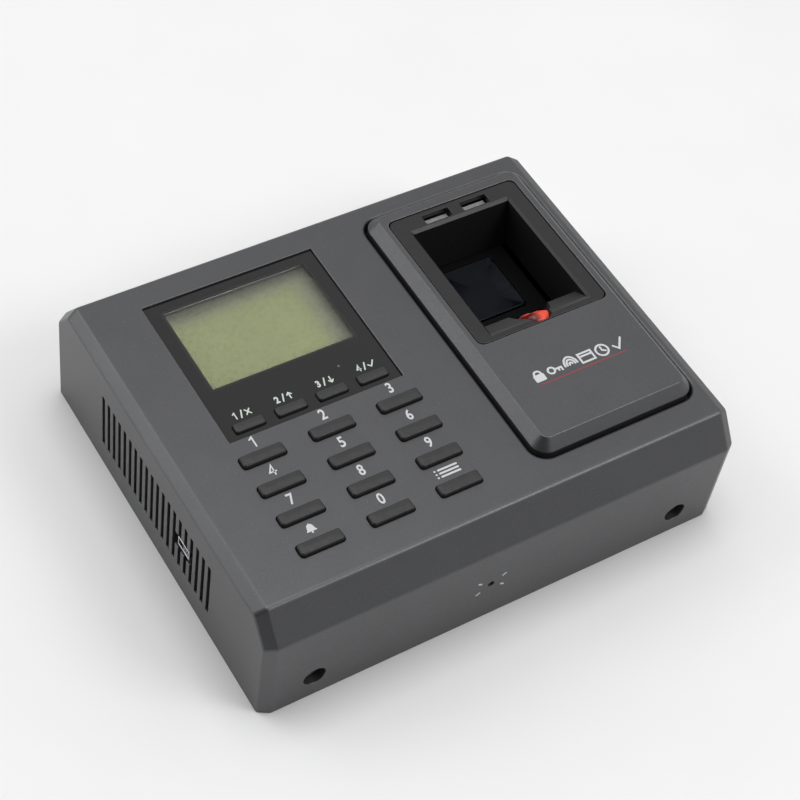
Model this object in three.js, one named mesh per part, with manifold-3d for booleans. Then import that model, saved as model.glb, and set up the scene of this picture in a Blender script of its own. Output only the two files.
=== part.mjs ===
// Fingerprint access terminal: a wall-mounted reader with a display, a keypad and a finger well.
// Millimetres. The terminal lies on its back: X runs along its width, Y towards its upper edge,
// and Z comes out of its face. The origin is the middle of the back plane.
import * as THREE from 'three';
import { mergeVertices } from 'three/addons/utils/BufferGeometryUtils.js';
import Module from 'manifold-3d';

const wasm = await Module();
wasm.setup();

// ---------------------------------------------------------------- driving dimensions
const WIDTH = 180;
const HEIGHT = 149;
const FACE_Z = 49;
const WALL = 3;
const GAP = 0.3;

const EDGE_SLOPE = { run: 8.6, lowZ: 37.6 };
const END_BEVEL = { along: 3.9, inset: 2.3 };

const VENT = { count: 20, pitch: 3.94, width: 1.9, lowZ: 10.5, highZ: 35.5 };
const SECURITY_SCREW = { x: 71, z: 11, headRadius: 3.4, shankRadius: 1.6, counterbore: 4, socket: 1.5 };
const SCREW_LAND = { depth: 4.5, thickness: 1.8, radius: 7 };
const RESET = { x: -5.9, z: 19.3, pinholeRadius: 1.2, plungerRadius: 1.6, lowY: -69.6, highY: -64.8 };
const RESET_SWITCH = { halfWidth: 3.5, lowY: -66.2, highY: -62.5, boreEndY: -63.6 };
const USB = {
  y: -19.9, width: 7.7, height: 4, length: 12, inset: 0.4, shell: 0.5, portWidth: 10.6, portHeight: 6.6,
};
const HOUSING_SCREW = {
  x: 79, y: 59, bossRadius: 4, pilotRadius: 1.5, pilotHighZ: 22,
  headRadius: 2.8, headHeight: 1.5, shankRadius: 1.2, shankHighZ: 19, crossLength: 3, crossWidth: 0.7,
};

// The display panel and both groups of keys share one centre line.
const DISPLAY_X = -34.6;
const PANEL = { width: 64.7, height: 62.5, y: 25.15, recess: 0.8, thickness: 1.3 };
const LCD_WINDOW = { width: 55, height: 37.3, y: 33.85, radius: 1.6 };
const LCD_DEPTH = 4;
const LCD = { width: 62, height: 43, glass: 1.8, backlight: 3, boardWidth: 68, boardHeight: 50, rim: 1.5 };

const KEY = {
  width: 15.4, height: 4.5, radius: 1, rise: 1.9,
  columnPitch: 25.4, rowPitch: 12.4, topRowY: -15.2,
};
const FUNCTION_KEY = { width: 10.8, height: 3.6, radius: 0.8, rise: 1.4, pitch: 15.37, y: -1.8 };
const KEY_CLEARANCE = 0.3;
const FLANGE = { lip: 1.1, thickness: 0.9 };
const KEY_CROWN = 0.7;
const BOARD = 1.6;
const KEYPAD_BOARD = { halfWidth: 36, lowY: -60, highY: 7.5, z: 40.4 };
const KEYPAD_MAT = { halfWidth: 35, lowY: -58, highY: 5, thickness: 0.9, room: 0.5, stem: 1.5 };

// The reader cover stands in a groove of the housing, and its bevelled top is proud of the face.
const READER = { x: 51.5, y: 1.75, width: 67.8, height: 118.3, radius: 7.5, grooveDepth: 6, groove: 2 };
const COVER = { rise: 4.6, bevel: 3.4, wall: 2.5 };
const BEZEL = { y: 21.15, width: 52.8, height: 61.7, radius: 2.5, below: 0.2, thickness: 2 };
const WELL = { halfWidth: 19.8, lowY: -7.4, highY: 44.4, floorZ: 34, wall: 2 };
const RAMP = { run: 7.5, drop: 4.5 };
const NOTCH = { radius: 8.5, y: 2.5 };
const TONGUE = { halfWidth: 4.2, lowY: -8.6, flatY: -4, highY: 0.9, drop: 4, depth: 8 };
const LIGHT_SLOT = { width: 10.8, height: 4, offset: 7.8, y: 47.9, pipeDepth: 2.6 };
const SENSOR = { y: 25, width: 36, height: 33, lowZ: 24.4, wall: 3 };
const PLATEN = { width: 22, height: 25, radius: 2, proud: 0.6 };
const SENSOR_BOARD = { width: 44, height: 45 };

const MAIN_BOARD = { lowX: -82, highX: 13, lowY: -62, highY: 60, z: 19.1 };
const REAR_COVER = { z: 5, thickness: 2.4, halfWidth: 84, halfHeight: 64.5, postRadius: 3 };
const PLATE = { thickness: 1.6, halfWidth: 84.5, halfHeight: 69.5 };
const WIRING = { lowX: -40, highX: 30, lowY: -25, highY: 20 };
const TAB = { width: 18, highZ: 19, y: -67.4, thickness: 1.5 };
const HOOK = { x: 45, width: 16, highZ: 14 };
const PLATE_HOLE = { x: 60, y: 50, width: 4.6, length: 9 };
const TAMPER = { x: -60, y: 35, radius: 2, size: 8, clearance: 2, travelRoom: 7.4, plunger: 6.6 };
const JACK = { x: -0.5, y: -2, width: 16, height: 15, lowZ: 5.2, depth: 11, sideWall: 2, endWall: 3 };
const TERMINAL = {
  pitch: 3.81, width: 9, lowZ: 9,
  wayWidth: 2.4, wayHeight: 2.6, wayHighZ: 14, screwRadius: 1.1, screwHighZ: 10.2,
};
const DISPLAY_CABLE = { y: 54, bulge: 5, width: 24, thickness: 0.6 };
const SENSOR_CABLE = { lowX: 5, highX: 33, lowY: 20, highY: 30 };
const PROCESSOR = { x: -20, y: 20, width: 16, depth: 16, height: 1.6 };
const BUZZER = { x: -62, y: -35, radius: 6, height: 7 };
const COIN_CELL = { x: -5, y: -38, radius: 10, height: 3.2 };
const RELAY = { x: -40, y: -48, width: 19, depth: 15.4, height: 15 };
const LOCK_TERMINALS = { x: -22, y: 10, ways: 8 };
const POWER_TERMINALS = { x: -24, y: -15, ways: 4 };

const COVER_TOP_Z = FACE_Z + COVER.rise;
const BEZEL_TOP_Z = COVER_TOP_Z - BEZEL.below;
const PANEL_TOP_Z = FACE_Z - PANEL.recess;
const PANEL_BOTTOM_Z = PANEL_TOP_Z - PANEL.thickness;
const CEILING_Z = FACE_Z - WALL;
const LCD_TOP_Z = PANEL_TOP_Z - LCD_DEPTH;
const KEYPAD_TOP_Z = KEYPAD_BOARD.z + BOARD;
const MAIN_TOP_Z = MAIN_BOARD.z + BOARD;
const MAIN_TOP_GAP_Z = MAIN_TOP_Z + GAP;
const SENSOR_TOP_Z = WELL.floorZ - GAP;

// How far a cutter runs past the face that it opens.
const PAST = 1;

// ---------------------------------------------------------------- solids and shapes
function toSolid(geometry) {
  geometry.deleteAttribute('normal');
  geometry.deleteAttribute('uv');
  const merged = mergeVertices(geometry, 1e-4);
  const mesh = new wasm.Mesh({
    numProp: 3,
    vertProperties: new Float32Array(merged.attributes.position.array),
    triVerts: new Uint32Array(merged.index.array),
  });
  return new wasm.Manifold(mesh);
}

function toGeometry(solid) {
  const mesh = solid.getMesh();
  const geometry = new THREE.BufferGeometry();
  geometry.setAttribute('position', new THREE.BufferAttribute(mesh.vertProperties, 3));
  geometry.setIndex(new THREE.BufferAttribute(mesh.triVerts, 1));
  geometry.computeVertexNormals();
  return geometry;
}

function roundedRect(width, height, radius) {
  const x = width / 2;
  const y = height / 2;
  const shape = new THREE.Shape();
  shape.moveTo(-x + radius, -y);
  shape.lineTo(x - radius, -y);
  shape.absarc(x - radius, -y + radius, radius, -Math.PI / 2, 0);
  shape.lineTo(x, y - radius);
  shape.absarc(x - radius, y - radius, radius, 0, Math.PI / 2);
  shape.lineTo(-x + radius, y);
  shape.absarc(-x + radius, y - radius, radius, Math.PI / 2, Math.PI);
  shape.lineTo(-x, -y + radius);
  shape.absarc(-x + radius, -y + radius, radius, Math.PI, 1.5 * Math.PI);
  return shape;
}

// A block between two corners.
function block(lowX, highX, lowY, highY, lowZ, highZ) {
  const geometry = new THREE.BoxGeometry(highX - lowX, highY - lowY, highZ - lowZ);
  geometry.translate((lowX + highX) / 2, (lowY + highY) / 2, (lowZ + highZ) / 2);
  return toSolid(geometry);
}

// A block given by the middle of its plan and its plan size.
function slab(x, y, width, height, lowZ, highZ) {
  return block(x - width / 2, x + width / 2, y - height / 2, y + height / 2, lowZ, highZ);
}

function roundedSlab(x, y, width, height, radius, lowZ, highZ, cornerSteps = 3) {
  const geometry = new THREE.ExtrudeGeometry(roundedRect(width, height, radius), {
    depth: highZ - lowZ,
    bevelEnabled: false,
    curveSegments: cornerSteps,
  });
  geometry.translate(x, y, lowZ);
  return toSolid(geometry);
}

// A rounded slab whose top edge is bevelled inwards by `inset` over the last `drop` of its height.
function bevelledSlab(x, y, width, height, radius, lowZ, highZ, inset, drop, steps, cornerSteps = 3) {
  const geometry = new THREE.ExtrudeGeometry(roundedRect(width, height, radius), {
    depth: highZ - lowZ,
    bevelEnabled: true,
    bevelThickness: drop,
    bevelSize: inset,
    bevelOffset: -inset,
    bevelSegments: steps,
    curveSegments: cornerSteps,
  });
  geometry.translate(x, y, lowZ - drop);
  const reach = Math.max(width, height);
  return toSolid(geometry).intersect(slab(x, y, 2 * reach, 2 * reach, lowZ, highZ + PAST));
}

function rod(x, y, radius, lowZ, highZ, sides = 16) {
  const geometry = new THREE.CylinderGeometry(radius, radius, highZ - lowZ, sides);
  geometry.rotateX(Math.PI / 2);
  geometry.translate(x, y, (lowZ + highZ) / 2);
  return toSolid(geometry);
}

function rodAlongY(x, z, radius, lowY, highY, sides = 16) {
  const geometry = new THREE.CylinderGeometry(radius, radius, highY - lowY, sides);
  geometry.translate(x, (lowY + highY) / 2, z);
  return toSolid(geometry);
}

// A closed outline in the YZ plane, carried along X.
function alongX(outline, lowX, highX) {
  const shape = new THREE.Shape(outline.map(([y, z]) => new THREE.Vector2(y, z)));
  const geometry = new THREE.ExtrudeGeometry(shape, { depth: highX - lowX, bevelEnabled: false });
  geometry.applyMatrix4(outlineToX(lowX));
  return toSolid(geometry);
}

function outlineToX(startX) {
  const matrix = new THREE.Matrix4().makeBasis(
    new THREE.Vector3(0, 1, 0),
    new THREE.Vector3(0, 0, 1),
    new THREE.Vector3(1, 0, 0),
  );
  return matrix.setPosition(startX, 0, 0);
}

// A flat strip bent in the YZ plane: it follows `curve` and is `width` wide along X.
function ribbon(curve, lowX, highX, thickness, steps) {
  const middle = curve.getSpacedPoints(steps);
  const side = (sign) => middle.map((point, i) => {
    const tangent = curve.getTangentAt(i / steps);
    return [point.x - sign * tangent.y * thickness / 2, point.y + sign * tangent.x * thickness / 2];
  });
  return alongX([...side(-1), ...side(1).reverse()], lowX, highX);
}

// ---------------------------------------------------------------- materials
const finish = (color, roughness, metalness = 0) => ({ color, roughness, metalness });
const FINISHES = {
  housing: finish(0x47484b, 0.55),
  cover: finish(0x4a4b4e, 0.55),
  bezel: finish(0x3a3b3d, 0.4),
  panel: finish(0x242526, 0.15),
  key: finish(0x333436, 0.6),
  clear: finish(0xd8dcd8, 0.05),
  lcd: finish(0x9aa57c, 0.3),
  grey: finish(0x8d8f90, 0.5),
  glass: finish(0x1a1d28, 0.05),
  glow: finish(0xc23a22, 0.3),
  frost: finish(0x9a9c9c, 0.4),
  steel: finish(0x9b9da0, 0.35, 1),
  zinc: finish(0xb4b6ba, 0.4, 1),
  black: finish(0x1b1c1e, 0.5),
  board: finish(0x1d5a38, 0.5),
  rubber: finish(0x55585a, 0.8),
  green: finish(0x2f7d4b, 0.5),
  cable: finish(0xb9bcc0, 0.5),
};

const terminal = new THREE.Group();

function place(name, solid, finishName) {
  const material = new THREE.MeshStandardMaterial(FINISHES[finishName]);
  const mesh = new THREE.Mesh(toGeometry(solid), material);
  mesh.name = name;
  terminal.add(mesh);
}

// ---------------------------------------------------------------- housing
function housingOutline(inset, lowZ) {
  const y = HEIGHT / 2;
  return [
    [-y + inset, lowZ],
    [y - inset, lowZ],
    [y - inset, EDGE_SLOPE.lowZ - inset / 2],
    [y - EDGE_SLOPE.run - inset / 2, FACE_Z - inset],
    [-y + EDGE_SLOPE.run + inset / 2, FACE_Z - inset],
    [-y + inset, EDGE_SLOPE.lowZ - inset / 2],
  ];
}

function housingOuter() {
  const points = housingOutline(0, -3 * END_BEVEL.inset);
  const geometry = new THREE.ExtrudeGeometry(
    new THREE.Shape(points.map(([y, z]) => new THREE.Vector2(y, z))),
    {
      depth: WIDTH - 2 * END_BEVEL.along,
      bevelEnabled: true,
      bevelThickness: END_BEVEL.along,
      bevelSize: END_BEVEL.inset,
      bevelOffset: -END_BEVEL.inset,
      bevelSegments: 1,
    },
  );
  geometry.applyMatrix4(outlineToX(END_BEVEL.along - WIDTH / 2));
  return toSolid(geometry).intersect(slab(0, 0, 2 * WIDTH, 2 * HEIGHT, 0, FACE_Z + PAST));
}

function keyPlaces() {
  const places = [];
  for (let row = 0; row < 4; row += 1) {
    for (let column = -1; column <= 1; column += 1) {
      places.push({
        x: DISPLAY_X + column * KEY.columnPitch,
        y: KEY.topRowY - row * KEY.rowPitch,
      });
    }
  }
  return places;
}

function functionKeyPlaces() {
  return [-1.5, -0.5, 0.5, 1.5].map((step) => ({
    x: DISPLAY_X + step * FUNCTION_KEY.pitch,
    y: FUNCTION_KEY.y,
  }));
}

function ventCuts() {
  const cuts = [];
  for (let i = 0; i < VENT.count; i += 1) {
    const y = (i - (VENT.count - 1) / 2) * VENT.pitch;
    cuts.push(block(-WIDTH / 2 - PAST, -WIDTH / 2 + 2 * WALL,
      y - VENT.width / 2, y + VENT.width / 2, VENT.lowZ, VENT.highZ));
  }
  return cuts;
}

function securityScrewSides() {
  return [-SECURITY_SCREW.x, SECURITY_SCREW.x];
}

function counterboreEndY() {
  return -HEIGHT / 2 + SCREW_LAND.depth;
}

function screwLandEndY() {
  return counterboreEndY() + SCREW_LAND.thickness;
}

function frontHousing() {
  const outer = housingOuter();
  let solid = outer.subtract(
    alongX(housingOutline(WALL, -PAST), -WIDTH / 2 + WALL, WIDTH / 2 - WALL),
  );

  // A tub under the face holds the groove that the reader cover stands in.
  const tubFloorZ = FACE_Z - READER.grooveDepth;
  const tub = roundedSlab(READER.x, READER.y, READER.width + 2 * WALL, READER.height + 2 * WALL,
    READER.radius + WALL, tubFloorZ - WALL, FACE_Z - PAST, 4);
  let added = tub;
  for (const x of [-HOUSING_SCREW.x, HOUSING_SCREW.x]) {
    for (const y of [-HOUSING_SCREW.y, HOUSING_SCREW.y]) {
      const boss = rod(x, y, HOUSING_SCREW.bossRadius, REAR_COVER.z + REAR_COVER.thickness + GAP,
        FACE_Z - PAST, 12);
      added = added.add(boss);
    }
  }
  for (const x of securityScrewSides()) {
    const land = rodAlongY(x, SECURITY_SCREW.z, SCREW_LAND.radius,
      -HEIGHT / 2 + PAST, screwLandEndY(), 16);
    added = added.add(land);
  }
  solid = solid.add(added.intersect(outer));

  const cuts = [
    roundedSlab(READER.x, READER.y, READER.width, READER.height, READER.radius,
      tubFloorZ, FACE_Z + PAST, 6),
    slab(READER.x, BEZEL.y, BEZEL.width + 1, BEZEL.height + 1, tubFloorZ - 2 * WALL, FACE_Z),
    slab(DISPLAY_X, PANEL.y, PANEL.width, PANEL.height, PANEL_BOTTOM_Z - GAP, FACE_Z + PAST),
    slab(DISPLAY_X, PANEL.y, PANEL.width - 3, PANEL.height - 3, CEILING_Z - PAST, FACE_Z),
    block(-WIDTH / 2 - PAST, -WIDTH / 2 + 2 * WALL, USB.y - USB.portWidth / 2,
      USB.y + USB.portWidth / 2, usbMiddleZ() - USB.portHeight / 2, usbMiddleZ() + USB.portHeight / 2),
    rodAlongY(RESET.x, RESET.z, RESET.pinholeRadius, -HEIGHT / 2 - PAST, -HEIGHT / 2 + 2 * WALL, 12),
    ...ventCuts(),
  ];
  for (const { x, y } of keyPlaces()) {
    cuts.push(roundedSlab(x, y, KEY.width + 2 * KEY_CLEARANCE, KEY.height + 2 * KEY_CLEARANCE,
      KEY.radius + KEY_CLEARANCE, CEILING_Z - PAST, FACE_Z + PAST, 2));
  }
  for (const x of securityScrewSides()) {
    cuts.push(rodAlongY(x, SECURITY_SCREW.z, SECURITY_SCREW.counterbore,
      -HEIGHT / 2 - PAST, counterboreEndY(), 20));
    cuts.push(rodAlongY(x, SECURITY_SCREW.z, SECURITY_SCREW.shankRadius + 2 * GAP,
      -HEIGHT / 2 - PAST, screwLandEndY() + PAST, 12));
  }
  for (const x of [-HOUSING_SCREW.x, HOUSING_SCREW.x]) {
    for (const y of [-HOUSING_SCREW.y, HOUSING_SCREW.y]) {
      cuts.push(rod(x, y, HOUSING_SCREW.pilotRadius, 0, HOUSING_SCREW.pilotHighZ, 8));
    }
  }
  return cuts.reduce((rest, cut) => rest.subtract(cut), solid);
}

// ---------------------------------------------------------------- display
function displayPanel() {
  let solid = slab(DISPLAY_X, PANEL.y, PANEL.width - 2 * GAP, PANEL.height - 2 * GAP,
    PANEL_BOTTOM_Z, PANEL_TOP_Z);
  solid = solid.subtract(roundedSlab(DISPLAY_X, LCD_WINDOW.y, LCD_WINDOW.width, LCD_WINDOW.height,
    LCD_WINDOW.radius, PANEL_BOTTOM_Z - PAST, PANEL_TOP_Z + PAST, 4));
  for (const { x, y } of functionKeyPlaces()) {
    solid = solid.subtract(roundedSlab(x, y, FUNCTION_KEY.width + 2 * KEY_CLEARANCE,
      FUNCTION_KEY.height + 2 * KEY_CLEARANCE, FUNCTION_KEY.radius + KEY_CLEARANCE,
      PANEL_BOTTOM_Z - PAST, PANEL_TOP_Z + PAST, 2));
  }
  return solid;
}

function displayWindow() {
  const trim = 0.4;
  return roundedSlab(DISPLAY_X, LCD_WINDOW.y, LCD_WINDOW.width - trim, LCD_WINDOW.height - trim,
    LCD_WINDOW.radius - trim / 2, PANEL_BOTTOM_Z, PANEL_TOP_Z, 4);
}

// The frame clips over the display glass and is the grey step seen inside the window.
function lcdFrame() {
  const lowZ = LCD_TOP_Z - LCD.glass;
  const outer = slab(DISPLAY_X, LCD_WINDOW.y, LCD.width + 2 * LCD.rim, LCD.height + 2 * LCD.rim,
    lowZ, CEILING_Z - GAP);
  const seat = slab(DISPLAY_X, LCD_WINDOW.y, LCD.width + 2 * GAP, LCD.height + 2 * GAP,
    lowZ - PAST, LCD_TOP_Z + GAP);
  const sight = slab(DISPLAY_X, LCD_WINDOW.y, LCD_WINDOW.width + 1, LCD_WINDOW.height + 1,
    lowZ - PAST, FACE_Z);
  return outer.subtract(seat).subtract(sight);
}

function lcdGlass() {
  return slab(DISPLAY_X, LCD_WINDOW.y, LCD.width, LCD.height, LCD_TOP_Z - LCD.glass, LCD_TOP_Z);
}

function lcdBacklight() {
  const topZ = LCD_TOP_Z - LCD.glass - GAP;
  return slab(DISPLAY_X, LCD_WINDOW.y, LCD.width, LCD.height, topZ - LCD.backlight, topZ);
}

function lcdBoardTopZ() {
  return LCD_TOP_Z - LCD.glass - LCD.backlight - 2 * GAP;
}

function lcdBoard() {
  const topZ = lcdBoardTopZ();
  return slab(DISPLAY_X, LCD_WINDOW.y, LCD.boardWidth, LCD.boardHeight, topZ - BOARD, topZ);
}

// ---------------------------------------------------------------- keys
// A key cap: a bevelled top, a stem that reaches the keypad board, and a flange that keeps it in.
function keyCap(size, x, y, topZ, flangeTopZ) {
  const stemZ = KEYPAD_TOP_Z + KEYPAD_MAT.stem;
  const cap = bevelledSlab(x, y, size.width, size.height, size.radius, stemZ, topZ,
    KEY_CROWN, KEY_CROWN, 1, 2);
  const flange = slab(x, y, size.width + 2 * FLANGE.lip, size.height + 2 * FLANGE.lip,
    flangeTopZ - FLANGE.thickness, flangeTopZ);
  return cap.add(flange);
}

const KEY_NAMES = [
  'key_1', 'key_2', 'key_3', 'key_4', 'key_5', 'key_6',
  'key_7', 'key_8', 'key_9', 'key_bell', 'key_0', 'key_menu',
];
const FUNCTION_KEY_NAMES = ['function_key_back', 'function_key_up', 'function_key_down', 'function_key_ok'];

function keypadBoard() {
  return block(DISPLAY_X - KEYPAD_BOARD.halfWidth, DISPLAY_X + KEYPAD_BOARD.halfWidth,
    KEYPAD_BOARD.lowY, KEYPAD_BOARD.highY, KEYPAD_BOARD.z, KEYPAD_TOP_Z);
}

// The silicone mat lies on the keypad board, and each key comes up through its own hole.
function keypadMat() {
  const { halfWidth, lowY, highY, thickness, room } = KEYPAD_MAT;
  const lowZ = KEYPAD_TOP_Z + GAP;
  const hole = ({ width, height }, x, y) => slab(x, y, width + 2 * room, height + 2 * room,
    KEYPAD_BOARD.z, FACE_Z);
  let solid = block(DISPLAY_X - halfWidth, DISPLAY_X + halfWidth, lowY, highY, lowZ, lowZ + thickness);
  for (const { x, y } of keyPlaces()) {
    solid = solid.subtract(hole(KEY, x, y));
  }
  for (const { x, y } of functionKeyPlaces()) {
    solid = solid.subtract(hole(FUNCTION_KEY, x, y));
  }
  return solid;
}

// ---------------------------------------------------------------- reader
function readerCover() {
  const lowZ = FACE_Z - READER.grooveDepth + GAP;
  const width = READER.width - 2 * READER.groove;
  const height = READER.height - 2 * READER.groove;
  const radius = READER.radius - READER.groove + 0.5;
  const outer = bevelledSlab(READER.x, READER.y, width, height, radius, lowZ, COVER_TOP_Z,
    COVER.bevel, COVER.rise, 1, 6);
  const hollow = bevelledSlab(READER.x, READER.y, width - 2 * COVER.wall, height - 2 * COVER.wall,
    radius - COVER.wall, lowZ - PAST, COVER_TOP_Z - COVER.wall, COVER.bevel, COVER.rise, 1, 4);
  const seat = roundedSlab(READER.x, BEZEL.y, BEZEL.width, BEZEL.height, BEZEL.radius,
    lowZ, COVER_TOP_Z + PAST, 3);
  return outer.subtract(hollow).subtract(seat);
}

function wellOutline(topZ) {
  return [
    [WELL.lowY, topZ],
    [WELL.lowY, BEZEL_TOP_Z],
    [WELL.lowY + RAMP.run, BEZEL_TOP_Z - RAMP.drop],
    [WELL.lowY + RAMP.run + 3, BEZEL_TOP_Z - 3 * RAMP.drop],
    [WELL.lowY + RAMP.run + 6, WELL.floorZ - PAST],
    [WELL.highY - 4, WELL.floorZ - PAST],
    [WELL.highY, BEZEL_TOP_Z],
    [WELL.highY, topZ],
  ];
}

// The red tongue stands in the notch of the ramp: its top is level with the lip, and it slopes into the well.
function tongueOutline(room) {
  const topZ = BEZEL_TOP_Z - GAP + room;
  const lowZ = BEZEL_TOP_Z - TONGUE.depth - room;
  return [
    [TONGUE.lowY - room, lowZ],
    [TONGUE.highY + room, lowZ],
    [TONGUE.highY + room, topZ - TONGUE.drop],
    [TONGUE.flatY + room, topZ],
    [TONGUE.lowY - room, topZ],
  ];
}

function readerTongue() {
  return alongX(tongueOutline(0), READER.x - TONGUE.halfWidth, READER.x + TONGUE.halfWidth);
}

function tongueSeat() {
  const room = 2 * GAP;
  return alongX(tongueOutline(room), READER.x - TONGUE.halfWidth - GAP, READER.x + TONGUE.halfWidth + GAP);
}

function readerBezel() {
  const plate = roundedSlab(READER.x, BEZEL.y, BEZEL.width - 2 * GAP, BEZEL.height - 2 * GAP,
    BEZEL.radius - GAP, BEZEL_TOP_Z - BEZEL.thickness, BEZEL_TOP_Z, 3);
  const tub = block(READER.x - WELL.halfWidth - WELL.wall, READER.x + WELL.halfWidth + WELL.wall,
    WELL.lowY - PAST, WELL.highY + PAST, WELL.floorZ, BEZEL_TOP_Z - PAST);
  const well = alongX(wellOutline(BEZEL_TOP_Z + PAST), READER.x - WELL.halfWidth, READER.x + WELL.halfWidth);
  let solid = plate.add(tub).subtract(well);
  for (const side of [-1, 1]) {
    solid = solid.subtract(slab(READER.x + side * LIGHT_SLOT.offset, LIGHT_SLOT.y,
      LIGHT_SLOT.width, LIGHT_SLOT.height, WELL.floorZ - PAST, BEZEL_TOP_Z + PAST));
  }
  const notch = rod(READER.x, NOTCH.y, NOTCH.radius, WELL.floorZ - PAST, BEZEL_TOP_Z + PAST, 24);
  return solid.subtract(notch).subtract(tongueSeat());
}

function lightPipe(side) {
  return slab(READER.x + side * LIGHT_SLOT.offset, LIGHT_SLOT.y, LIGHT_SLOT.width - 2 * GAP,
    LIGHT_SLOT.height - 2 * GAP, WELL.floorZ + PAST, BEZEL_TOP_Z - LIGHT_SLOT.pipeDepth);
}

function sensorHousing() {
  const body = slab(READER.x, SENSOR.y, SENSOR.width, SENSOR.height, SENSOR.lowZ, SENSOR_TOP_Z);
  const seat = roundedSlab(READER.x, SENSOR.y, PLATEN.width + 2 * GAP, PLATEN.height + 2 * GAP,
    PLATEN.radius, SENSOR.lowZ + SENSOR.wall, SENSOR_TOP_Z + PAST, 3);
  return body.subtract(seat);
}

function sensorPlaten() {
  return roundedSlab(READER.x, SENSOR.y, PLATEN.width, PLATEN.height, PLATEN.radius - GAP,
    SENSOR.lowZ + SENSOR.wall + GAP, SENSOR_TOP_Z + PLATEN.proud, 3);
}

function sensorBoard() {
  return slab(READER.x, SENSOR.y, SENSOR_BOARD.width, SENSOR_BOARD.height,
    SENSOR.lowZ - GAP - BOARD, SENSOR.lowZ - GAP);
}

// ---------------------------------------------------------------- electronics
function usbMiddleZ() {
  return MAIN_TOP_GAP_Z + USB.height / 2;
}

// The main board is notched at its two left corners, where the housing's screw bosses pass.
function mainBoard() {
  let solid = block(MAIN_BOARD.lowX, MAIN_BOARD.highX, MAIN_BOARD.lowY, MAIN_BOARD.highY,
    MAIN_BOARD.z, MAIN_TOP_Z);
  const notch = 2 * HOUSING_SCREW.bossRadius + 3;
  for (const y of [-HOUSING_SCREW.y, HOUSING_SCREW.y]) {
    solid = solid.subtract(slab(-HOUSING_SCREW.x, y, notch, notch, 0, FACE_Z));
  }
  return solid;
}

// The socket's metal shell stands in the port of the side wall, and its mouth takes the plug.
function usbSocket() {
  const { y, width, height, length, inset, shell } = USB;
  const frontX = -WIDTH / 2 + inset;
  const body = block(frontX, frontX + length, y - width / 2, y + width / 2,
    MAIN_TOP_GAP_Z, MAIN_TOP_GAP_Z + height);
  const mouth = block(frontX - PAST, frontX + length - 5 * shell,
    y - width / 2 + shell, y + width / 2 - shell, MAIN_TOP_GAP_Z + shell, MAIN_TOP_GAP_Z + height - shell);
  const tongue = block(frontX + 2 * shell, frontX + length - 4 * shell, y - 0.3 * width, y + 0.3 * width,
    usbMiddleZ() - shell, usbMiddleZ() + shell);
  return body.subtract(mouth).add(tongue);
}

// The network jack and the terminal blocks hang under the main board and face the wall.
function networkJack() {
  const body = slab(JACK.x, JACK.y, JACK.width, JACK.height, JACK.lowZ, MAIN_BOARD.z - GAP);
  const mouth = slab(JACK.x, JACK.y, JACK.width - 2 * JACK.sideWall, JACK.height - 2 * JACK.endWall,
    JACK.lowZ - PAST, JACK.lowZ + JACK.depth);
  return body.subtract(mouth);
}

// Each way has a square mouth for its wire and a sunk clamp screw beside it.
function terminalBlock({ x, y, ways }) {
  const { pitch, width, lowZ, wayWidth, wayHeight, wayHighZ, screwRadius, screwHighZ } = TERMINAL;
  let solid = slab(x, y, ways * pitch + PAST, width, lowZ, MAIN_BOARD.z - GAP);
  for (let i = 0; i < ways; i += 1) {
    const wayX = x + (i - (ways - 1) / 2) * pitch;
    solid = solid.subtract(slab(wayX, y - 0.18 * width, wayWidth, wayHeight, lowZ - PAST, wayHighZ));
    solid = solid.subtract(rod(wayX, y + 0.27 * width, screwRadius, lowZ - PAST, screwHighZ, 8));
  }
  return solid;
}

function resetSwitch() {
  const { halfWidth, lowY, highY, boreEndY } = RESET_SWITCH;
  const body = block(RESET.x - halfWidth, RESET.x + halfWidth, lowY, highY,
    RESET.z - halfWidth, RESET.z + halfWidth);
  return body.subtract(rodAlongY(RESET.x, RESET.z, RESET.plungerRadius + GAP, lowY - PAST, boreEndY, 16));
}

function resetButton() {
  return rodAlongY(RESET.x, RESET.z, RESET.plungerRadius, RESET.lowY, RESET.highY, 16);
}

function tamperSwitch() {
  const lowZ = REAR_COVER.z + REAR_COVER.thickness + TAMPER.clearance;
  const body = slab(TAMPER.x, TAMPER.y, TAMPER.size, TAMPER.size, lowZ, MAIN_BOARD.z - GAP);
  return body.subtract(rod(TAMPER.x, TAMPER.y, TAMPER.radius + GAP,
    lowZ - PAST, lowZ + TAMPER.travelRoom, 16));
}

function tamperPlunger() {
  return rod(TAMPER.x, TAMPER.y, TAMPER.radius,
    GAP, REAR_COVER.z + REAR_COVER.thickness + TAMPER.plunger, 16);
}

// A component that stands on the main board.
function boardBlock({ x, y, width, depth, height }) {
  return slab(x, y, width, depth, MAIN_TOP_GAP_Z, MAIN_TOP_GAP_Z + height);
}

function boardRod({ x, y, radius, height }) {
  return rod(x, y, radius, MAIN_TOP_GAP_Z, MAIN_TOP_GAP_Z + height, 24);
}

// The cable bends once from the display board down to the main board.
function displayCable() {
  const { y, bulge, width, thickness } = DISPLAY_CABLE;
  const highZ = lcdBoardTopZ() - BOARD - GAP - thickness;
  const lowZ = MAIN_TOP_GAP_Z + thickness;
  const curve = new THREE.CubicBezierCurve(
    new THREE.Vector2(y, highZ),
    new THREE.Vector2(y + bulge, highZ),
    new THREE.Vector2(y + bulge, lowZ),
    new THREE.Vector2(y, lowZ),
  );
  return ribbon(curve, DISPLAY_X - width / 2, DISPLAY_X + width / 2, thickness, 12);
}

// A flat lead from the sensor board to the main board.
function sensorCable() {
  const { lowX, highX, lowY, highY } = SENSOR_CABLE;
  return block(lowX, highX, lowY, highY, MAIN_TOP_GAP_Z, SENSOR.lowZ - 2 * GAP - BOARD);
}

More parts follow.
